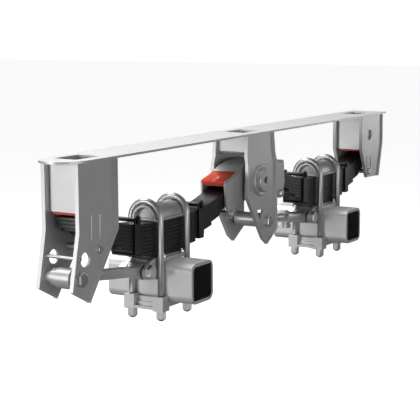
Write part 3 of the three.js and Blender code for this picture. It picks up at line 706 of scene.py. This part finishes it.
@dataclass
class HexBolt:
    """A through bolt along Y, with its head on the near side and a nut on the far side."""

    node: str
    body: Body
    radius: float
    across: float
    sleeve: float = 0.0
    thread_end: float = 4 * MM
    washer_half: float = 1.2 * MM
    sleeve_gap: float = 9.5 * MM

    def build(self) -> None:
        """Makes the bolt, its nut, its washers and its sleeve from the CAD node's box."""
        low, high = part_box(self.node)
        centre = (low + high) / 2
        head = self.radius * 1.25
        near = low.y + head
        far = high.y - self.thread_end - head

        def at(y: float) -> Point:
            """The point of the bolt's axis at one Y."""
            return centre.x, y, centre.z

        corner = self.across / math.sqrt(3)
        bolt = Form().drum(self.radius, at(near - head / 2), at(high.y), 40)
        self._hexagon(bolt, at(low.y), at(near), corner)
        bolt.piece(self.node + "_shank", self.body, Slot.FASTENER, "fastener", 0.9 * MM, [self.node])
        nut = Form()
        self._hexagon(nut, at(high.y - self.thread_end), at(far), corner)
        nut.piece(self.node + "_nut", self.body, Slot.FASTENER, "fastener", 0.9 * MM)
        rim = self.across * 0.56
        under_head = self.washer_half - 0.1 * MM
        disc = Form().drum(rim, at(near - self.washer_half), at(near + under_head), 48)
        disc.drum(rim, at(far - under_head), at(far + self.washer_half), 48)
        disc.piece(self.node + "_washers", self.body, Slot.FASTENER, "fastener", 0.5 * MM)
        if self.sleeve:
            tube = Form().drum(self.sleeve, at(near + self.sleeve_gap), at(far - self.sleeve_gap), 40)
            tube.piece(self.node + "_sleeve", self.body, Slot.FASTENER, "nut", 0.8 * MM)

    @staticmethod
    def _hexagon(form: Form, outer: Point, inner: Point, corner: float) -> None:
        """Adds a hexagon with a round bearing face on its outer end."""
        outer, inner = Vector(outer), Vector(inner)
        lean = outer + (inner - outer) * 0.16
        form.drum(corner, lean, inner, 6)
        form.drum(corner * 0.99, lean, outer, 6, taper=corner * 0.87)


# ---------------------------------------------------------------- frame


@dataclass
class TopPlate:
    """The long plate under the chassis rail, with a rounded nose and three windows."""

    nose_start: float = -1188 * MM
    bevel: float = 1.6 * MM

    def build(self) -> None:
        """Makes the plate with a smooth nose."""
        low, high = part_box("top_plate")
        half = high.y
        stretch = ((self.nose_start - low.x) / half, 1.0)
        form = Form.of_node("top_plate")
        form.rounded((self.nose_start, 0.0), half, axis=2, cuts=9, stretch=stretch,
                     where=lambda co: co.x < self.nose_start + 0.1 * MM)
        form.piece("top_plate_shape", Body.FRAME, Slot.HANGER, "silver", self.bevel, ["top_plate"], angle=25)


@dataclass
class EndHanger:
    """A hanger for a free spring end: two flanged side plates, a folded box and a wear pad."""

    prefix: str
    holes: tuple[tuple[float, float, float], ...]
    ribs: tuple[float, float]
    rib_height: tuple[float, float]
    weld_span: tuple[float, float]
    bend: float = 2.0 * MM
    fold: float = 11 * MM

    def build(self) -> None:
        """Makes the hanger's pieces."""
        for side in ("near", "far"):
            self.plate(side)
        self.box()
        refine(self.prefix + "_hanger_wear_pad", Body.FRAME, Slot.PAD, "red", 1.2 * MM)
        self.welds()

    def plate(self, side: str) -> None:
        """Makes one side plate with pressed ribs on its outer face.

        Args:
            side: Near or far.
        """
        node = f"{self.prefix}_hanger_{side}_plate"
        refine(node, Body.FRAME, Slot.HANGER, "silver", self.bend, self.holes, angle=28)
        low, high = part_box(node)
        face = (high.y - SHEET) if side == "near" else (low.y + SHEET)
        ribs = Form()
        for x in self.ribs:
            ribs.capsule((x, face, self.rib_height[0]), (x, face, self.rib_height[1]), 7 * MM, (1, 0.4, 1))
        ribs.piece(f"{self.prefix}_hanger_{side}_ribs", Body.FRAME, Slot.HANGER, "silver")

    def box(self) -> None:
        """Makes the folded box with its round upright corners."""
        node = self.prefix + "_hanger_box"
        low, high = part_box(node)
        form = Form.of_node(node)

        def is_corner(a: Vector, b: Vector) -> bool:
            """Whether an edge is one of the four upright outer corners."""
            upright = abs(a.x - b.x) < 1 * MM and abs(a.y - b.y) < 1 * MM
            outer = all(min(abs(p.y - low.y), abs(p.y - high.y)) < 0.2 * MM
                        and min(abs(p.x - low.x), abs(p.x - high.x)) < 0.2 * MM for p in (a, b))
            return upright and outer and abs(a.z - b.z) > 20 * MM

        form.bevel_where(is_corner, self.fold, 6)
        form.piece(node + "_shape", Body.FRAME, Slot.HANGER, "silver", 1.6 * MM, [node])

    def welds(self) -> None:
        """Lays beads between the side plates and the top plate."""
        beads = Form()
        for side in ("near", "far"):
            low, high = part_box(f"{self.prefix}_hanger_{side}_plate")
            inner = high.y if side == "near" else low.y
            outer = inner + (-8.2 * MM if side == "near" else 8.2 * MM)
            top = high.z - 0.5 * MM
            start, end = (max(self.weld_span[0], low.x), min(self.weld_span[1], high.x))
            beads.weld_bead((start, outer, top), (end, outer, top), 3.2 * MM)
        beads.piece(self.prefix + "_hanger_welds", Body.FRAME, Slot.HANGER, "weld")


@dataclass
class CentreHanger:
    """The hanger that carries the equalizer: stepped side plates, a box and the pivot shaft."""

    arm_hole: tuple[float, float, float] = (34 * MM, -372 * MM, 14.3 * MM)
    pivot_radius: float = 47.5 * MM
    socket: float = 12.5 * MM

    def build(self) -> None:
        """Makes the hanger's pieces."""
        rounds = (self.arm_hole, (PIVOT_PLACE.x, PIVOT_PLACE.z, self.pivot_radius + 0.3 * MM),
                  (PIVOT_PLACE.x, PIVOT_PLACE.z, 62 * MM))
        for side in ("near", "far"):
            refine(f"centre_hanger_{side}_plate", Body.FRAME, Slot.HANGER, "silver", 2 * MM, rounds, angle=30)
        refine("centre_hanger_box", Body.FRAME, Slot.HANGER, "silver", 3 * MM)
        self.shaft()
        self.collars()

    def shaft(self) -> None:
        """Makes the turned pivot shaft with a recess in each end."""
        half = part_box("pivot_shaft")[1].y
        r, s = self.pivot_radius, self.socket
        edge, depth = 2.5 * MM, 22 * MM
        quarter = [(half - edge, r), (half, r - edge), (half, s + 5 * MM),
                   (half - 1.5 * MM, s + 4 * MM), (half - 1.5 * MM, s + 1.2 * MM),
                   (half - 2.7 * MM, s), (half - depth, s), (half - depth, 0.0)]
        profile = quarter + [(-a, b) for a, b in reversed(quarter)]
        Form().lathe(profile, (PIVOT_PLACE.x, 0, PIVOT_PLACE.z), (0, 1, 0)).piece(
            "pivot_shaft_shape", Body.FRAME, Slot.SHAFT, "shaft", 0.5 * MM, ["pivot_shaft"])

    def collars(self) -> None:
        """Lays the rounded weld collar round the shaft on each side plate."""
        face = 80
        half_ring = ((2, 63.5), (5.4, 62.5), (7.2, 58.5), (6.6, 53.5), (4, 48.2), (1, 48.2))
        for side, sign in (("near", -1), ("far", 1)):
            ring = [(sign * (face + proud) * MM, radius * MM) for proud, radius in half_ring]
            Form().lathe(ring, (PIVOT_PLACE.x, 0, PIVOT_PLACE.z), (0, 1, 0)).piece(
                f"pivot_collar_{side}", Body.FRAME, Slot.HANGER, "silver")


# ---------------------------------------------------------------- equalizer


@dataclass
class Equalizer:
    """The rocking box that the two inner spring ends push up against."""

    tilt: float = math.radians(-4.3)
    ear: tuple[float, float] = (209 * MM, -95 * MM)
    ear_radius: float = 22 * MM
    half_length: float = 247 * MM
    label_end: float = 152 * MM
    lip: float = 12 * MM

    def build(self) -> None:
        """Makes the equalizer's pieces."""
        ears = [self.world(side * self.ear[0], self.ear[1]) for side in (-1, 1)]
        rounds = [(*place, self.ear_radius) for place in ears] + [(*place, 8.3 * MM) for place in ears]
        rounds.append((PIVOT_PLACE.x, PIVOT_PLACE.z, 50 * MM))
        for side in ("near", "far"):
            refine(f"equalizer_{side}_side", Body.EQUALIZER, Slot.ARM, "casting", 2 * MM, rounds)
        self.cover()
        hub = [(PIVOT_PLACE.x, PIVOT_PLACE.z, radius * MM) for radius in (66, 57.3)]
        refine("equalizer_hub", Body.EQUALIZER, Slot.ARM, "casting", 1 * MM, hub)
        refine("equalizer_bush", Body.EQUALIZER, Slot.RUBBER, "rubber", 1 * MM,
               [(PIVOT_PLACE.x, PIVOT_PLACE.z, 57 * MM)])
        self.label()
        for end in ("front", "rear"):
            refine(f"equalizer_{end}_pad", Body.EQUALIZER, Slot.PAD, "red", 1.5 * MM)
            HexBolt(f"equalizer_{end}_keeper_bolt", Body.EQUALIZER, 8 * MM, 26 * MM).build()

    def label(self) -> None:
        """Lays a blank red label on the cover's front end and folds it down over the edge."""
        low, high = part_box("equalizer_cover")
        proud = 0.5 * MM
        roof = [(-self.half_length, 40 * MM), (-196 * MM, 48 * MM), (-self.label_end, 59.8 * MM)]
        edge_x, edge_z = roof[0]
        line = [self.world(edge_x - proud, edge_z - self.lip), self.world(edge_x - proud, edge_z + 0.4 * MM)]
        line += [self.world(x, z + proud) for x, z in roof[1:]]
        form = Form()
        half = (high.y - low.y) / 2 - 4.5 * MM
        rows = [[form.bm.verts.new((x, side * half, z)) for side in (-1, 1)] for x, z in line]
        for (a, b), (c, d) in zip(rows, rows[1:]):
            form.bm.faces.new((a, b, d, c))
        form.faced_out()
        bmesh.ops.solidify(form.bm, geom=form.bm.faces[:], thickness=0.4 * MM)
        form.piece("equalizer_label", Body.EQUALIZER, Slot.PAD, "label")

    def world(self, x: float, z: float) -> tuple[float, float]:
        """A point of the untilted equalizer, in the frame's X and Z."""
        c, s = math.cos(self.tilt), math.sin(self.tilt)
        return PIVOT_PLACE.x + x * c + z * s, PIVOT_PLACE.z - x * s + z * c

    def cover(self) -> None:
        """Makes the folded cover with its long edges rounded over."""
        form = Form.of_node("equalizer_cover")
        low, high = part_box("equalizer_cover")

        def is_long(a: Vector, b: Vector) -> bool:
            """Whether an edge runs along the cover's side."""
            return all(min(abs(p.y - low.y), abs(p.y - high.y)) < 0.2 * MM for p in (a, b)) \
                and abs(a.x - b.x) > 3 * MM

        form.bevel_where(is_long, 3.8 * MM, 4)
        form.piece("equalizer_cover_shape", Body.EQUALIZER, Slot.ARM, "casting", 1.5 * MM,
                   ["equalizer_cover"])


# ---------------------------------------------------------------- springs


@dataclass
class Spring:
    """A pack of leaves over one axle, with its clips and centre bolt."""

    prefix: str
    body: Body
    width: float = 90 * MM
    pitch: float = 13 * MM
    thick: float = 12.6 * MM
    half_lengths: tuple[float, ...] = (530, 526, 520, 511, 486, 368, 306, 250, 186, 140)
    hanger_reach: tuple[float, ...] = (30, 31, 33, 24)
    flat: float = 104 * MM
    radius: float = 860 * MM
    bend_end: float = 400 * MM
    tip: float = 530 * MM
    tip_slope: float = 0.05

    def build(self) -> None:
        """Makes the leaves and clips."""
        self.towards = -1 if self.body is Body.FRONT_AXLE else 1
        self.centre_x = middle(self.prefix + "_axle_tube").x
        highest = max(self.rise(self.tip), self.rise(self.tip + self.hanger_reach[0] * MM))
        self.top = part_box(self.prefix + "_main_leaf")[1].z - highest
        for index in range(len(self.half_lengths)):
            self.leaf(index)
        refine(self.prefix + "_centre_bolt", self.body, Slot.SPRING, "black", 0.8 * MM)
        for end in ("front", "rear"):
            self.clip(f"{self.prefix}_spring_{end}_clip")

    def rise(self, distance: float) -> float:
        """Height of a leaf above its clamped middle.

        Args:
            distance: Distance from the axle line.

        Returns:
            The height.
        """
        d = abs(distance)
        if d <= self.flat:
            return 0.0
        if d <= self.bend_end:
            return (d - self.flat) ** 2 / (2 * self.radius)
        slope = (self.bend_end - self.flat) / self.radius
        ease = (slope - self.tip_slope) / (self.tip - self.bend_end)
        past = d - self.bend_end
        return (self.bend_end - self.flat) ** 2 / (2 * self.radius) + slope * past - ease * past * past / 2

    def leaf(self, index: int) -> None:
        """Makes one leaf, with rounded edges and its corners drawn in.

        Args:
            index: 0 for the main leaf at the top.
        """
        half = self.half_lengths[index] * MM
        extra = self.hanger_reach[index] * MM if index < len(self.hanger_reach) else 0.0
        form = Form()
        bmesh.ops.create_grid(form.bm, x_segments=72, y_segments=8, size=0.5)
        lower = self.top - index * self.pitch - self.thick
        for vert in form.bm.verts:
            x, y = vert.co.x * 2 * half, vert.co.y * self.width
            near_end = max(0.0, 1 - (half - abs(x)) / (14 * MM))
            x -= math.copysign(4 * MM * near_end * (2 * y / self.width) ** 4, x)
            if x * self.towards > 0:
                x *= 1 + extra / half
            vert.co = Vector((self.centre_x + x, y, lower + self.rise(x)))
        made = bmesh.ops.extrude_face_region(form.bm, geom=form.bm.faces[:])["geom"]
        bmesh.ops.translate(form.bm, verts=of_kind(made, VERT),
                            vec=(0, 0, self.thick))
        form.faced_out()
        stood_for = {0: [self.prefix + "_main_leaf"], 1: [self.prefix + "_leaf_stack"]}.get(index, ())
        form.piece(f"{self.prefix}_leaf_{index + 1}", self.body, Slot.SPRING, "black", 1.9 * MM, stood_for)

    def clip(self, node: str) -> None:
        """Makes one clip with its bolt and sleeve.

        Args:
            node: The clip's CAD node.
        """
        low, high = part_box(node)
        centre_x = (low.x + high.x) / 2
        bolt_z = high.z - 17 * MM
        inner, thick, half = self.width / 2 + 1 * MM, 6 * MM, 17 * MM
        strap = Form()
        for sign in (-1, 1):
            y0, y1 = sorted((sign * inner, sign * (inner + thick)))
            strap.box((centre_x - half, y0, low.z), (centre_x + half, y1, bolt_z))
            strap.drum(half, (centre_x, y0, bolt_z), (centre_x, y1, bolt_z), 48)
        strap.box((centre_x - half, -inner - thick, low.z), (centre_x + half, inner + thick, low.z + thick))
        strap.piece(node + "_strap", self.body, Slot.SPRING, "black", 1.5 * MM, [node])
        outer = inner + thick

        def at(y: float) -> Point:
            """The point of the bolt's axis at one Y."""
            return centre_x, y, bolt_z

        sleeve, corner, head, thread = 8 * MM, 9.2 * MM, 6 * MM, 10 * MM
        bolt = Form().drum(sleeve, at(-inner + 0.2 * MM), at(inner - 0.2 * MM), 32)
        bolt.drum(corner, at(-outer - head), at(-outer), 6)
        bolt.drum(corner, at(outer), at(outer + head), 6)
        bolt.drum(5 * MM, at(outer), at(outer + thread), 24)
        bolt.piece(node + "_bolt", self.body, Slot.SPRING, "black", 0.7 * MM)


# ---------------------------------------------------------------- axle clamps


@dataclass
class AxleClamp:
    """What holds a spring on its axle tube: saddle, U-bolts, nuts, seat, clamp plate and tube."""

    prefix: str
    body: Body
    rod: float = 12 * MM
    leg_x: float = 89 * MM
    leg_y: float = 62.5 * MM
    nut_across: float = 34 * MM
    nut_end: tuple = ((9, 0), (8.2, 6), (5.4, 11), (1.5, 14.6), (-1, 15.6), (-1, 0))
    dome: float = 49.4 * MM
    rim: float = 6.5 * MM
    wall: float = 12 * MM
    corner: float = 30 * MM

    def build(self) -> None:
        """Makes the clamp's pieces."""
        self.x = middle(self.prefix + "_axle_tube").x
        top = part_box(f"{self.prefix}_u_bolt_front")[1].z
        self.arch_z = top - self.leg_y - self.rod
        self.saddle()
        for end, sign in (("front", -1), ("rear", 1)):
            self.u_bolt(end, self.x + sign * self.leg_x)
        self.seat()
        self.clamp_plate()
        self.tube()

    def saddle(self) -> None:
        """Makes the half-round saddle under the U-bolts, hollow at both ends, with a slot on top."""
        node = self.prefix + "_top_pad"
        low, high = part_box(node)
        half, z = (high.x - low.x) / 2, self.arch_z
        inner, web, deep = self.dome - self.rim, self.dome - 2 * self.rim, 24 * MM
        form = Form()
        profile = [(half, inner), (half, self.dome), (-half, self.dome), (-half, inner),
                   (-half + deep, web), (-half + deep, 0.0), (half - deep, 0.0), (half - deep, web)]
        form.lathe(profile, (self.x, 0, z), (1, 0, 0), steps=96)
        cut_z = low.z + 6 * MM
        bmesh.ops.bisect_plane(form.bm, geom=form.bm.verts[:] + form.bm.edges[:] + form.bm.faces[:],
                               plane_co=(0, 0, cut_z), plane_no=(0, 0, -1), clear_outer=True)
        rims = [edge for edge in form.bm.edges if edge.is_boundary]
        bmesh.ops.holes_fill(form.bm, edges=rims, sides=0)
        obj = form.piece(node + "_dome", self.body, Slot.CASTING, "casting", 1.6 * MM, [node])
        slot = Form().capsule((self.x - 12 * MM, 0, z + self.dome), (self.x + 12 * MM, 0, z + self.dome),
                              9 * MM, (1, 1, 1.6))
        carve(obj, slot)
        foot = Form().box((self.x - half, -57 * MM, low.z), (self.x + half, 57 * MM, low.z + 8 * MM))
        foot.piece(node + "_foot", self.body, Slot.CASTING, "casting", 3 * MM)

    def u_bolt(self, end: str, x: float) -> None:
        """Makes one U-bolt and its two nuts.

        Args:
            end: Front or rear.
            x: Where it stands along X.
        """
        node = f"{self.prefix}_u_bolt_{end}"
        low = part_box(node)[0].z
        form = Form()
        ring = bmesh.ops.create_circle(form.bm, cap_ends=False, segments=36, radius=self.rod,
                                       matrix=Matrix.Translation((x, -self.leg_y, self.arch_z)))["verts"]
        start = list({edge for vert in ring for edge in vert.link_edges})
        made = bmesh.ops.spin(form.bm, geom=ring + start, cent=(x, 0, self.arch_z), axis=(1, 0, 0),
                              angle=-math.pi, steps=48, use_merge=False, use_duplicate=False)
        last = of_kind(made["geom_last"], EDGE)
        for loop, y in ((start, -self.leg_y), (last, self.leg_y)):
            self._leg(form, loop, (x, y, low + 8 * MM))
        form.faced_out()
        form.piece(node + "_rod", self.body, Slot.ROD, "rod", 0.0, [node])
        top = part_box(self.prefix + "_clamp_plate")[0].z
        for side, y in (("near", -self.leg_y), ("far", self.leg_y)):
            nut = Form()
            corner = self.nut_across / math.sqrt(3)
            bottom = low + 9 * MM
            nut.drum(corner, (x, y, bottom), (x, y, top - 0.5 * MM), 6)
            dome = [(deep * MM, radius * MM) for deep, radius in self.nut_end]
            nut.lathe(dome, (x, y, bottom), (0, 0, -1), steps=40)
            nut.piece(f"{node}_{side}_nut", self.body, Slot.ROD, "nut", 1.2 * MM)

    @staticmethod
    def _leg(form: Form, loop: list, end: Point) -> None:
        """Draws a ring of edges straight down to an end and closes it."""
        made = bmesh.ops.extrude_edge_only(form.bm, edges=loop)["geom"]
        ring = of_kind(made, VERT)
        edges = of_kind(made, EDGE)
        for vert in ring:
            vert.co.z = end[2]
        bmesh.ops.contextual_create(form.bm, geom=edges)

    def seat(self) -> None:
        """Makes the seat casting and the arm bolt with its thick washers."""
        eye = middle(self.prefix + "_arm_bolt")
        refine(self.prefix + "_spring_seat", self.body, Slot.CASTING, "casting", 3 * MM,
               [(eye.x, eye.z, 28 * MM), (eye.x, eye.z, 14.3 * MM)])
        HexBolt(self.prefix + "_arm_bolt", self.body, 14 * MM, 46 * MM).build()
        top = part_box(self.prefix + "_spring_seat")[1].z - 4 * MM
        for name, sign in (("front", -1), ("rear", 1)):
            place = (self.x + sign * 62 * MM, -57 * MM)
            shank, corner, nut_top, end = 6 * MM, 10.5 * MM, top + 8.5 * MM, top + 15 * MM
            stud = Form().drum(shank, (*place, top), (*place, end), 24)
            stud.drum(corner, (*place, top + 0.2 * MM), (*place, nut_top), 6)
            stud.piece(f"{self.prefix}_seat_{name}_stud", self.body, Slot.FASTENER, "fastener", 0.8 * MM)

    def clamp_plate(self) -> None:
        """Makes the clamp plate under the tube."""
        refine(self.prefix + "_clamp_plate", self.body, Slot.CASTING, "casting", 3.2 * MM)

    def tube(self) -> None:
        """Makes the rounded square tube and its two plugs."""
        node = self.prefix + "_axle_tube"
        low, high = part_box(node)
        tube = Form()
        outer = self._loop(tube, low.y, high.x - low.x, self.corner, middle(node).z)
        inner = self._loop(tube, low.y, high.x - low.x - 2 * self.wall, self.corner - self.wall,
                           middle(node).z)
        far = []
        for loop in (outer, inner):
            made = bmesh.ops.extrude_edge_only(tube.bm, edges=loop)["geom"]
            verts = of_kind(made, VERT)
            bmesh.ops.translate(tube.bm, verts=verts, vec=(0, high.y - low.y, 0))
            far.append(of_kind(made, EDGE))
        bmesh.ops.bridge_loops(tube.bm, edges=outer + inner)
        bmesh.ops.bridge_loops(tube.bm, edges=far[0] + far[1])
        tube.faced_out()
        tube.piece(node + "_shape", self.body, Slot.AXLE, "tube", 1.6 * MM, [node])
        for side, y, inward in (("near", low.y, 1), ("far", high.y, -1)):
            plug = Form()
            start = y + inward * 4 * MM
            loop = self._loop(plug, start, high.x - low.x - 2 * self.wall - 0.4 * MM,
                              self.corner - self.wall, middle(node).z)
            face = bmesh.ops.contextual_create(plug.bm, geom=loop)["faces"]
            made = bmesh.ops.extrude_face_region(plug.bm, geom=face)["geom"]
            bmesh.ops.translate(plug.bm, verts=of_kind(made, VERT),
                                vec=(0, inward * 8 * MM, 0))
            plug.faced_out()
            plug.piece(f"{self.prefix}_axle_plug_{side}", self.body, Slot.SPRING, "plug", 1.5 * MM)

    def _loop(self, form: Form, y: float, side: float, corner: float, z: float) -> list:
        """Adds a rounded square ring of edges that stands at one Y.

        Args:
            form: The form it is added to.
            y: Where it stands.
            side: The square's side.
            corner: Its corner radius.
            z: Its centre's height.

        Returns:
            The ring's edges.
        """
        place = Matrix.Translation((self.x, y, z)) @ Matrix.Rotation(math.pi / 2, 4, "X")
        made = bmesh.ops.create_grid(form.bm, x_segments=1, y_segments=1, size=side / 2, matrix=place)
        bevel = bmesh.ops.bevel(form.bm, geom=made["verts"], offset=corner, offset_type="OFFSET", segments=9,
                                profile=0.5, affect="VERTICES", material=-1)
        verts = set(bevel["verts"])
        faces = {face for vert in verts for face in vert.link_faces}
        edges = list({edge for face in faces for edge in face.edges})
        bmesh.ops.delete(form.bm, geom=list(faces), context="FACES_ONLY")
        return edges


# ---------------------------------------------------------------- torque arms


@dataclass
class TorqueArms:
    """The fixed front arm and the adjustable rear arm."""

    def build(self) -> None:
        """Makes both arms."""
        front_hanger = middle("front_arm_hanger_bolt")
        front_axle = middle("front_arm_bolt")
        rear_hanger = middle("rear_arm_hanger_bolt")
        rear_axle = middle("rear_arm_bolt")
        front, rear, end = Body.FRONT_ARM, Body.REAR_ARM, Body.REAR_ARM_END
        steel, rubber = (Slot.ARM, "arm"), (Slot.RUBBER, "rubber")
        for node, body, look, bevel, rounds in (
                ("front_torque_arm", front, steel, 2.2,
                 self.eyes(front_hanger, (36, 28)) + self.eyes(front_axle, (30, 23))),
                ("front_torque_arm_front_bush", front, steel, 1.5, self.eyes(front_hanger, (27.7, 20, 30))),
                ("front_torque_arm_rear_bush", front, rubber, 1.0, self.eyes(front_axle, (22.7,))),
                ("rear_torque_arm_rod", rear, steel, 1.6, self.eyes(rear_hanger, (29.5, 21.5))),
                ("rear_torque_arm_front_bush", rear, rubber, 1.0, self.eyes(rear_hanger, (21.2,))),
                ("rear_torque_arm_socket", end, steel, 1.6, self.eyes(rear_axle, (30, 23))),
                ("rear_torque_arm_rear_bush", end, rubber, 1.0, self.eyes(rear_axle, (22.7,))),
                ("rear_torque_arm_clamp", end, steel, 1.0, [])):
            refine(node, body, *look, bevel * MM, rounds)

    @staticmethod
    def eyes(centre: Vector, radii: Sequence[float]) -> list[tuple[float, float, float]]:
        """Rounds of several radii, in millimetres, about one centre."""
        return [(centre.x, centre.z, radius * MM) for radius in radii]


# ---------------------------------------------------------------- studio


@dataclass
class Studio:
    """The floor, the lights and the camera."""

    camera_place: Point = (-4.4866, -2.5167, 0.4509)
    azimuth: float = math.radians(-59.04)
    elevation: float = math.radians(8.62)
    roll: float = math.radians(-0.27)
    lens: float = 108.0
    floor_z: float = -1.3

    def build(self) -> None:
        """Makes the studio."""
        self.camera()
        self.floor()
        self.world()
        self.lamp("top_light", (-0.3, 0.9, 3.2), (-0.2, 0.1, 0.0), 5.5, 3.2, 360)
        self.lamp("front_light", (-5.6, 1.6, 0.3), (0.0, 0.2, -0.4), 2.8, 3.0, 125)
        self.lamp("rear_side_light", (5.4, -1.9, 0.2), (0.9, 0.0, -0.2), 1.6, 1.8, 20)
        self.lamp("near_light", (-1.4, -4.2, -0.5), (0.0, 0.0, -0.4), 3.2, 1.2, 34)
        self.lamp("under_light", (-2.6, -0.6, -1.6), (-0.3, 0.0, -0.4), 2.0, 1.6, 12)
        bpy.context.scene.view_settings.view_transform = "Standard"

    def camera(self) -> None:
        """Places the camera."""
        a, e, r = self.azimuth, self.elevation, self.roll
        back = Vector((math.sin(a) * math.cos(e), -math.cos(a) * math.cos(e), math.sin(e)))
        level = Vector((math.cos(a), math.sin(a), 0))
        right = level * math.cos(r) + back.cross(level) * math.sin(r)
        up = back.cross(right)
        data = bpy.data.cameras.new("camera")
        data.lens = self.lens
        data.sensor_width = 36.0
        obj = bpy.data.objects.new("camera", data)
        axes = Matrix((right, up, back)).transposed().to_4x4()
        obj.matrix_world = Matrix.Translation(self.camera_place) @ axes
        bpy.context.scene.collection.objects.link(obj)
        bpy.context.scene.camera = obj

    def floor(self) -> None:
        """Lays a plain pale floor."""
        mesh = bpy.data.meshes.new("floor")
        bm = bmesh.new()
        bmesh.ops.create_grid(bm, x_segments=1, y_segments=1, size=40,
                              matrix=Matrix.Translation((0, 0, self.floor_z)))
        bm.to_mesh(mesh)
        bm.free()
        graph = Graph("floor_white")
        graph.shade(base_color=(0.35, 0.35, 0.35, 1.0), roughness=0.9, emission_color=(1, 1, 1, 1),
                    emission_strength=0.90)
        mesh.materials.append(graph.material)
        obj = bpy.data.objects.new("floor", mesh)
        obj.visible_diffuse = False
        obj.visible_glossy = False
        bpy.context.scene.collection.objects.link(obj)

    def world(self) -> None:
        """Sets a white backdrop and a soft, dimmer surrounding light."""
        world = bpy.data.worlds.new("studio")
        bpy.context.scene.world = world
        world.use_nodes = True
        nodes, links = world.node_tree.nodes, world.node_tree.links
        background = nodes["Background"]
        rays = nodes.new("ShaderNodeLightPath")
        mix = nodes.new("ShaderNodeMix")
        mix.data_type = "FLOAT"
        mix.inputs["A"].default_value = 0.13
        mix.inputs["B"].default_value = 1.1
        links.new(rays.outputs["Is Camera Ray"], mix.inputs["Factor"])
        links.new(mix.outputs["Result"], background.inputs["Strength"])
        background.inputs["Color"].default_value = (1, 1, 1, 1)

    def lamp(self, name: str, place: Point, target: Point, width: float, height: float, power: float) -> None:
        """Adds a soft rectangular light.

        Args:
            name: Its name.
            place: Where it stands.
            target: What it points at.
            width: Its width.
            height: Its height.
            power: Its power in watts.
        """
        data = bpy.data.lights.new(name, "AREA")
        data.shape = "RECTANGLE"
        data.size = width
        data.size_y = height
        data.energy = power
        obj = bpy.data.objects.new(name, data)
        obj.location = place
        obj.rotation_mode = "QUATERNION"
        obj.rotation_quaternion = (Vector(target) - Vector(place)).to_track_quat("-Z", "Y")
        bpy.context.scene.collection.objects.link(obj)


def main() -> None:
    """Builds every sub-assembly."""
    logging.basicConfig(level=logging.INFO, format="%(message)s")
    Studio().build()
    TopPlate().build()
    front_holes = ((-1235, -392, 14.3), (-1205, -331, 25), (-1243, -322, 6.3), (-1128, -306, 8.3))
    rear_holes = ((1086, -102, 25), (1074, -277, 8.3))
    for prefix, holes, ribs, height, welds in (
            ("front", front_holes, (-1165, -1117), (-192, -268), (-1236, -1032)),
            ("rear", rear_holes, (1056, 1100), (-208, -250), (994, 1212))):
        spans = [tuple(value * MM for value in pair) for pair in (ribs, height, welds)]
        EndHanger(prefix, tuple(tuple(value * MM for value in hole) for hole in holes), *spans).build()
        HexBolt(prefix + "_keeper_bolt", Body.FRAME, 8 * MM, 26 * MM, sleeve=11.5 * MM).build()
    HexBolt("front_hanger_tie_rod", Body.FRAME, 6 * MM, 18 * MM).build()
    HexBolt("front_arm_hanger_bolt", Body.FRAME, 14 * MM, 46 * MM).build()
    HexBolt("rear_arm_hanger_bolt", Body.FRAME, 14 * MM, 46 * MM).build()
    CentreHanger().build()
    Equalizer().build()
    TorqueArms().build()
    for prefix, body in (("front", Body.FRONT_AXLE), ("rear", Body.REAR_AXLE)):
        Spring(prefix, body).build()
        AxleClamp(prefix, body).build()


if __name__ == "__main__":
    main()
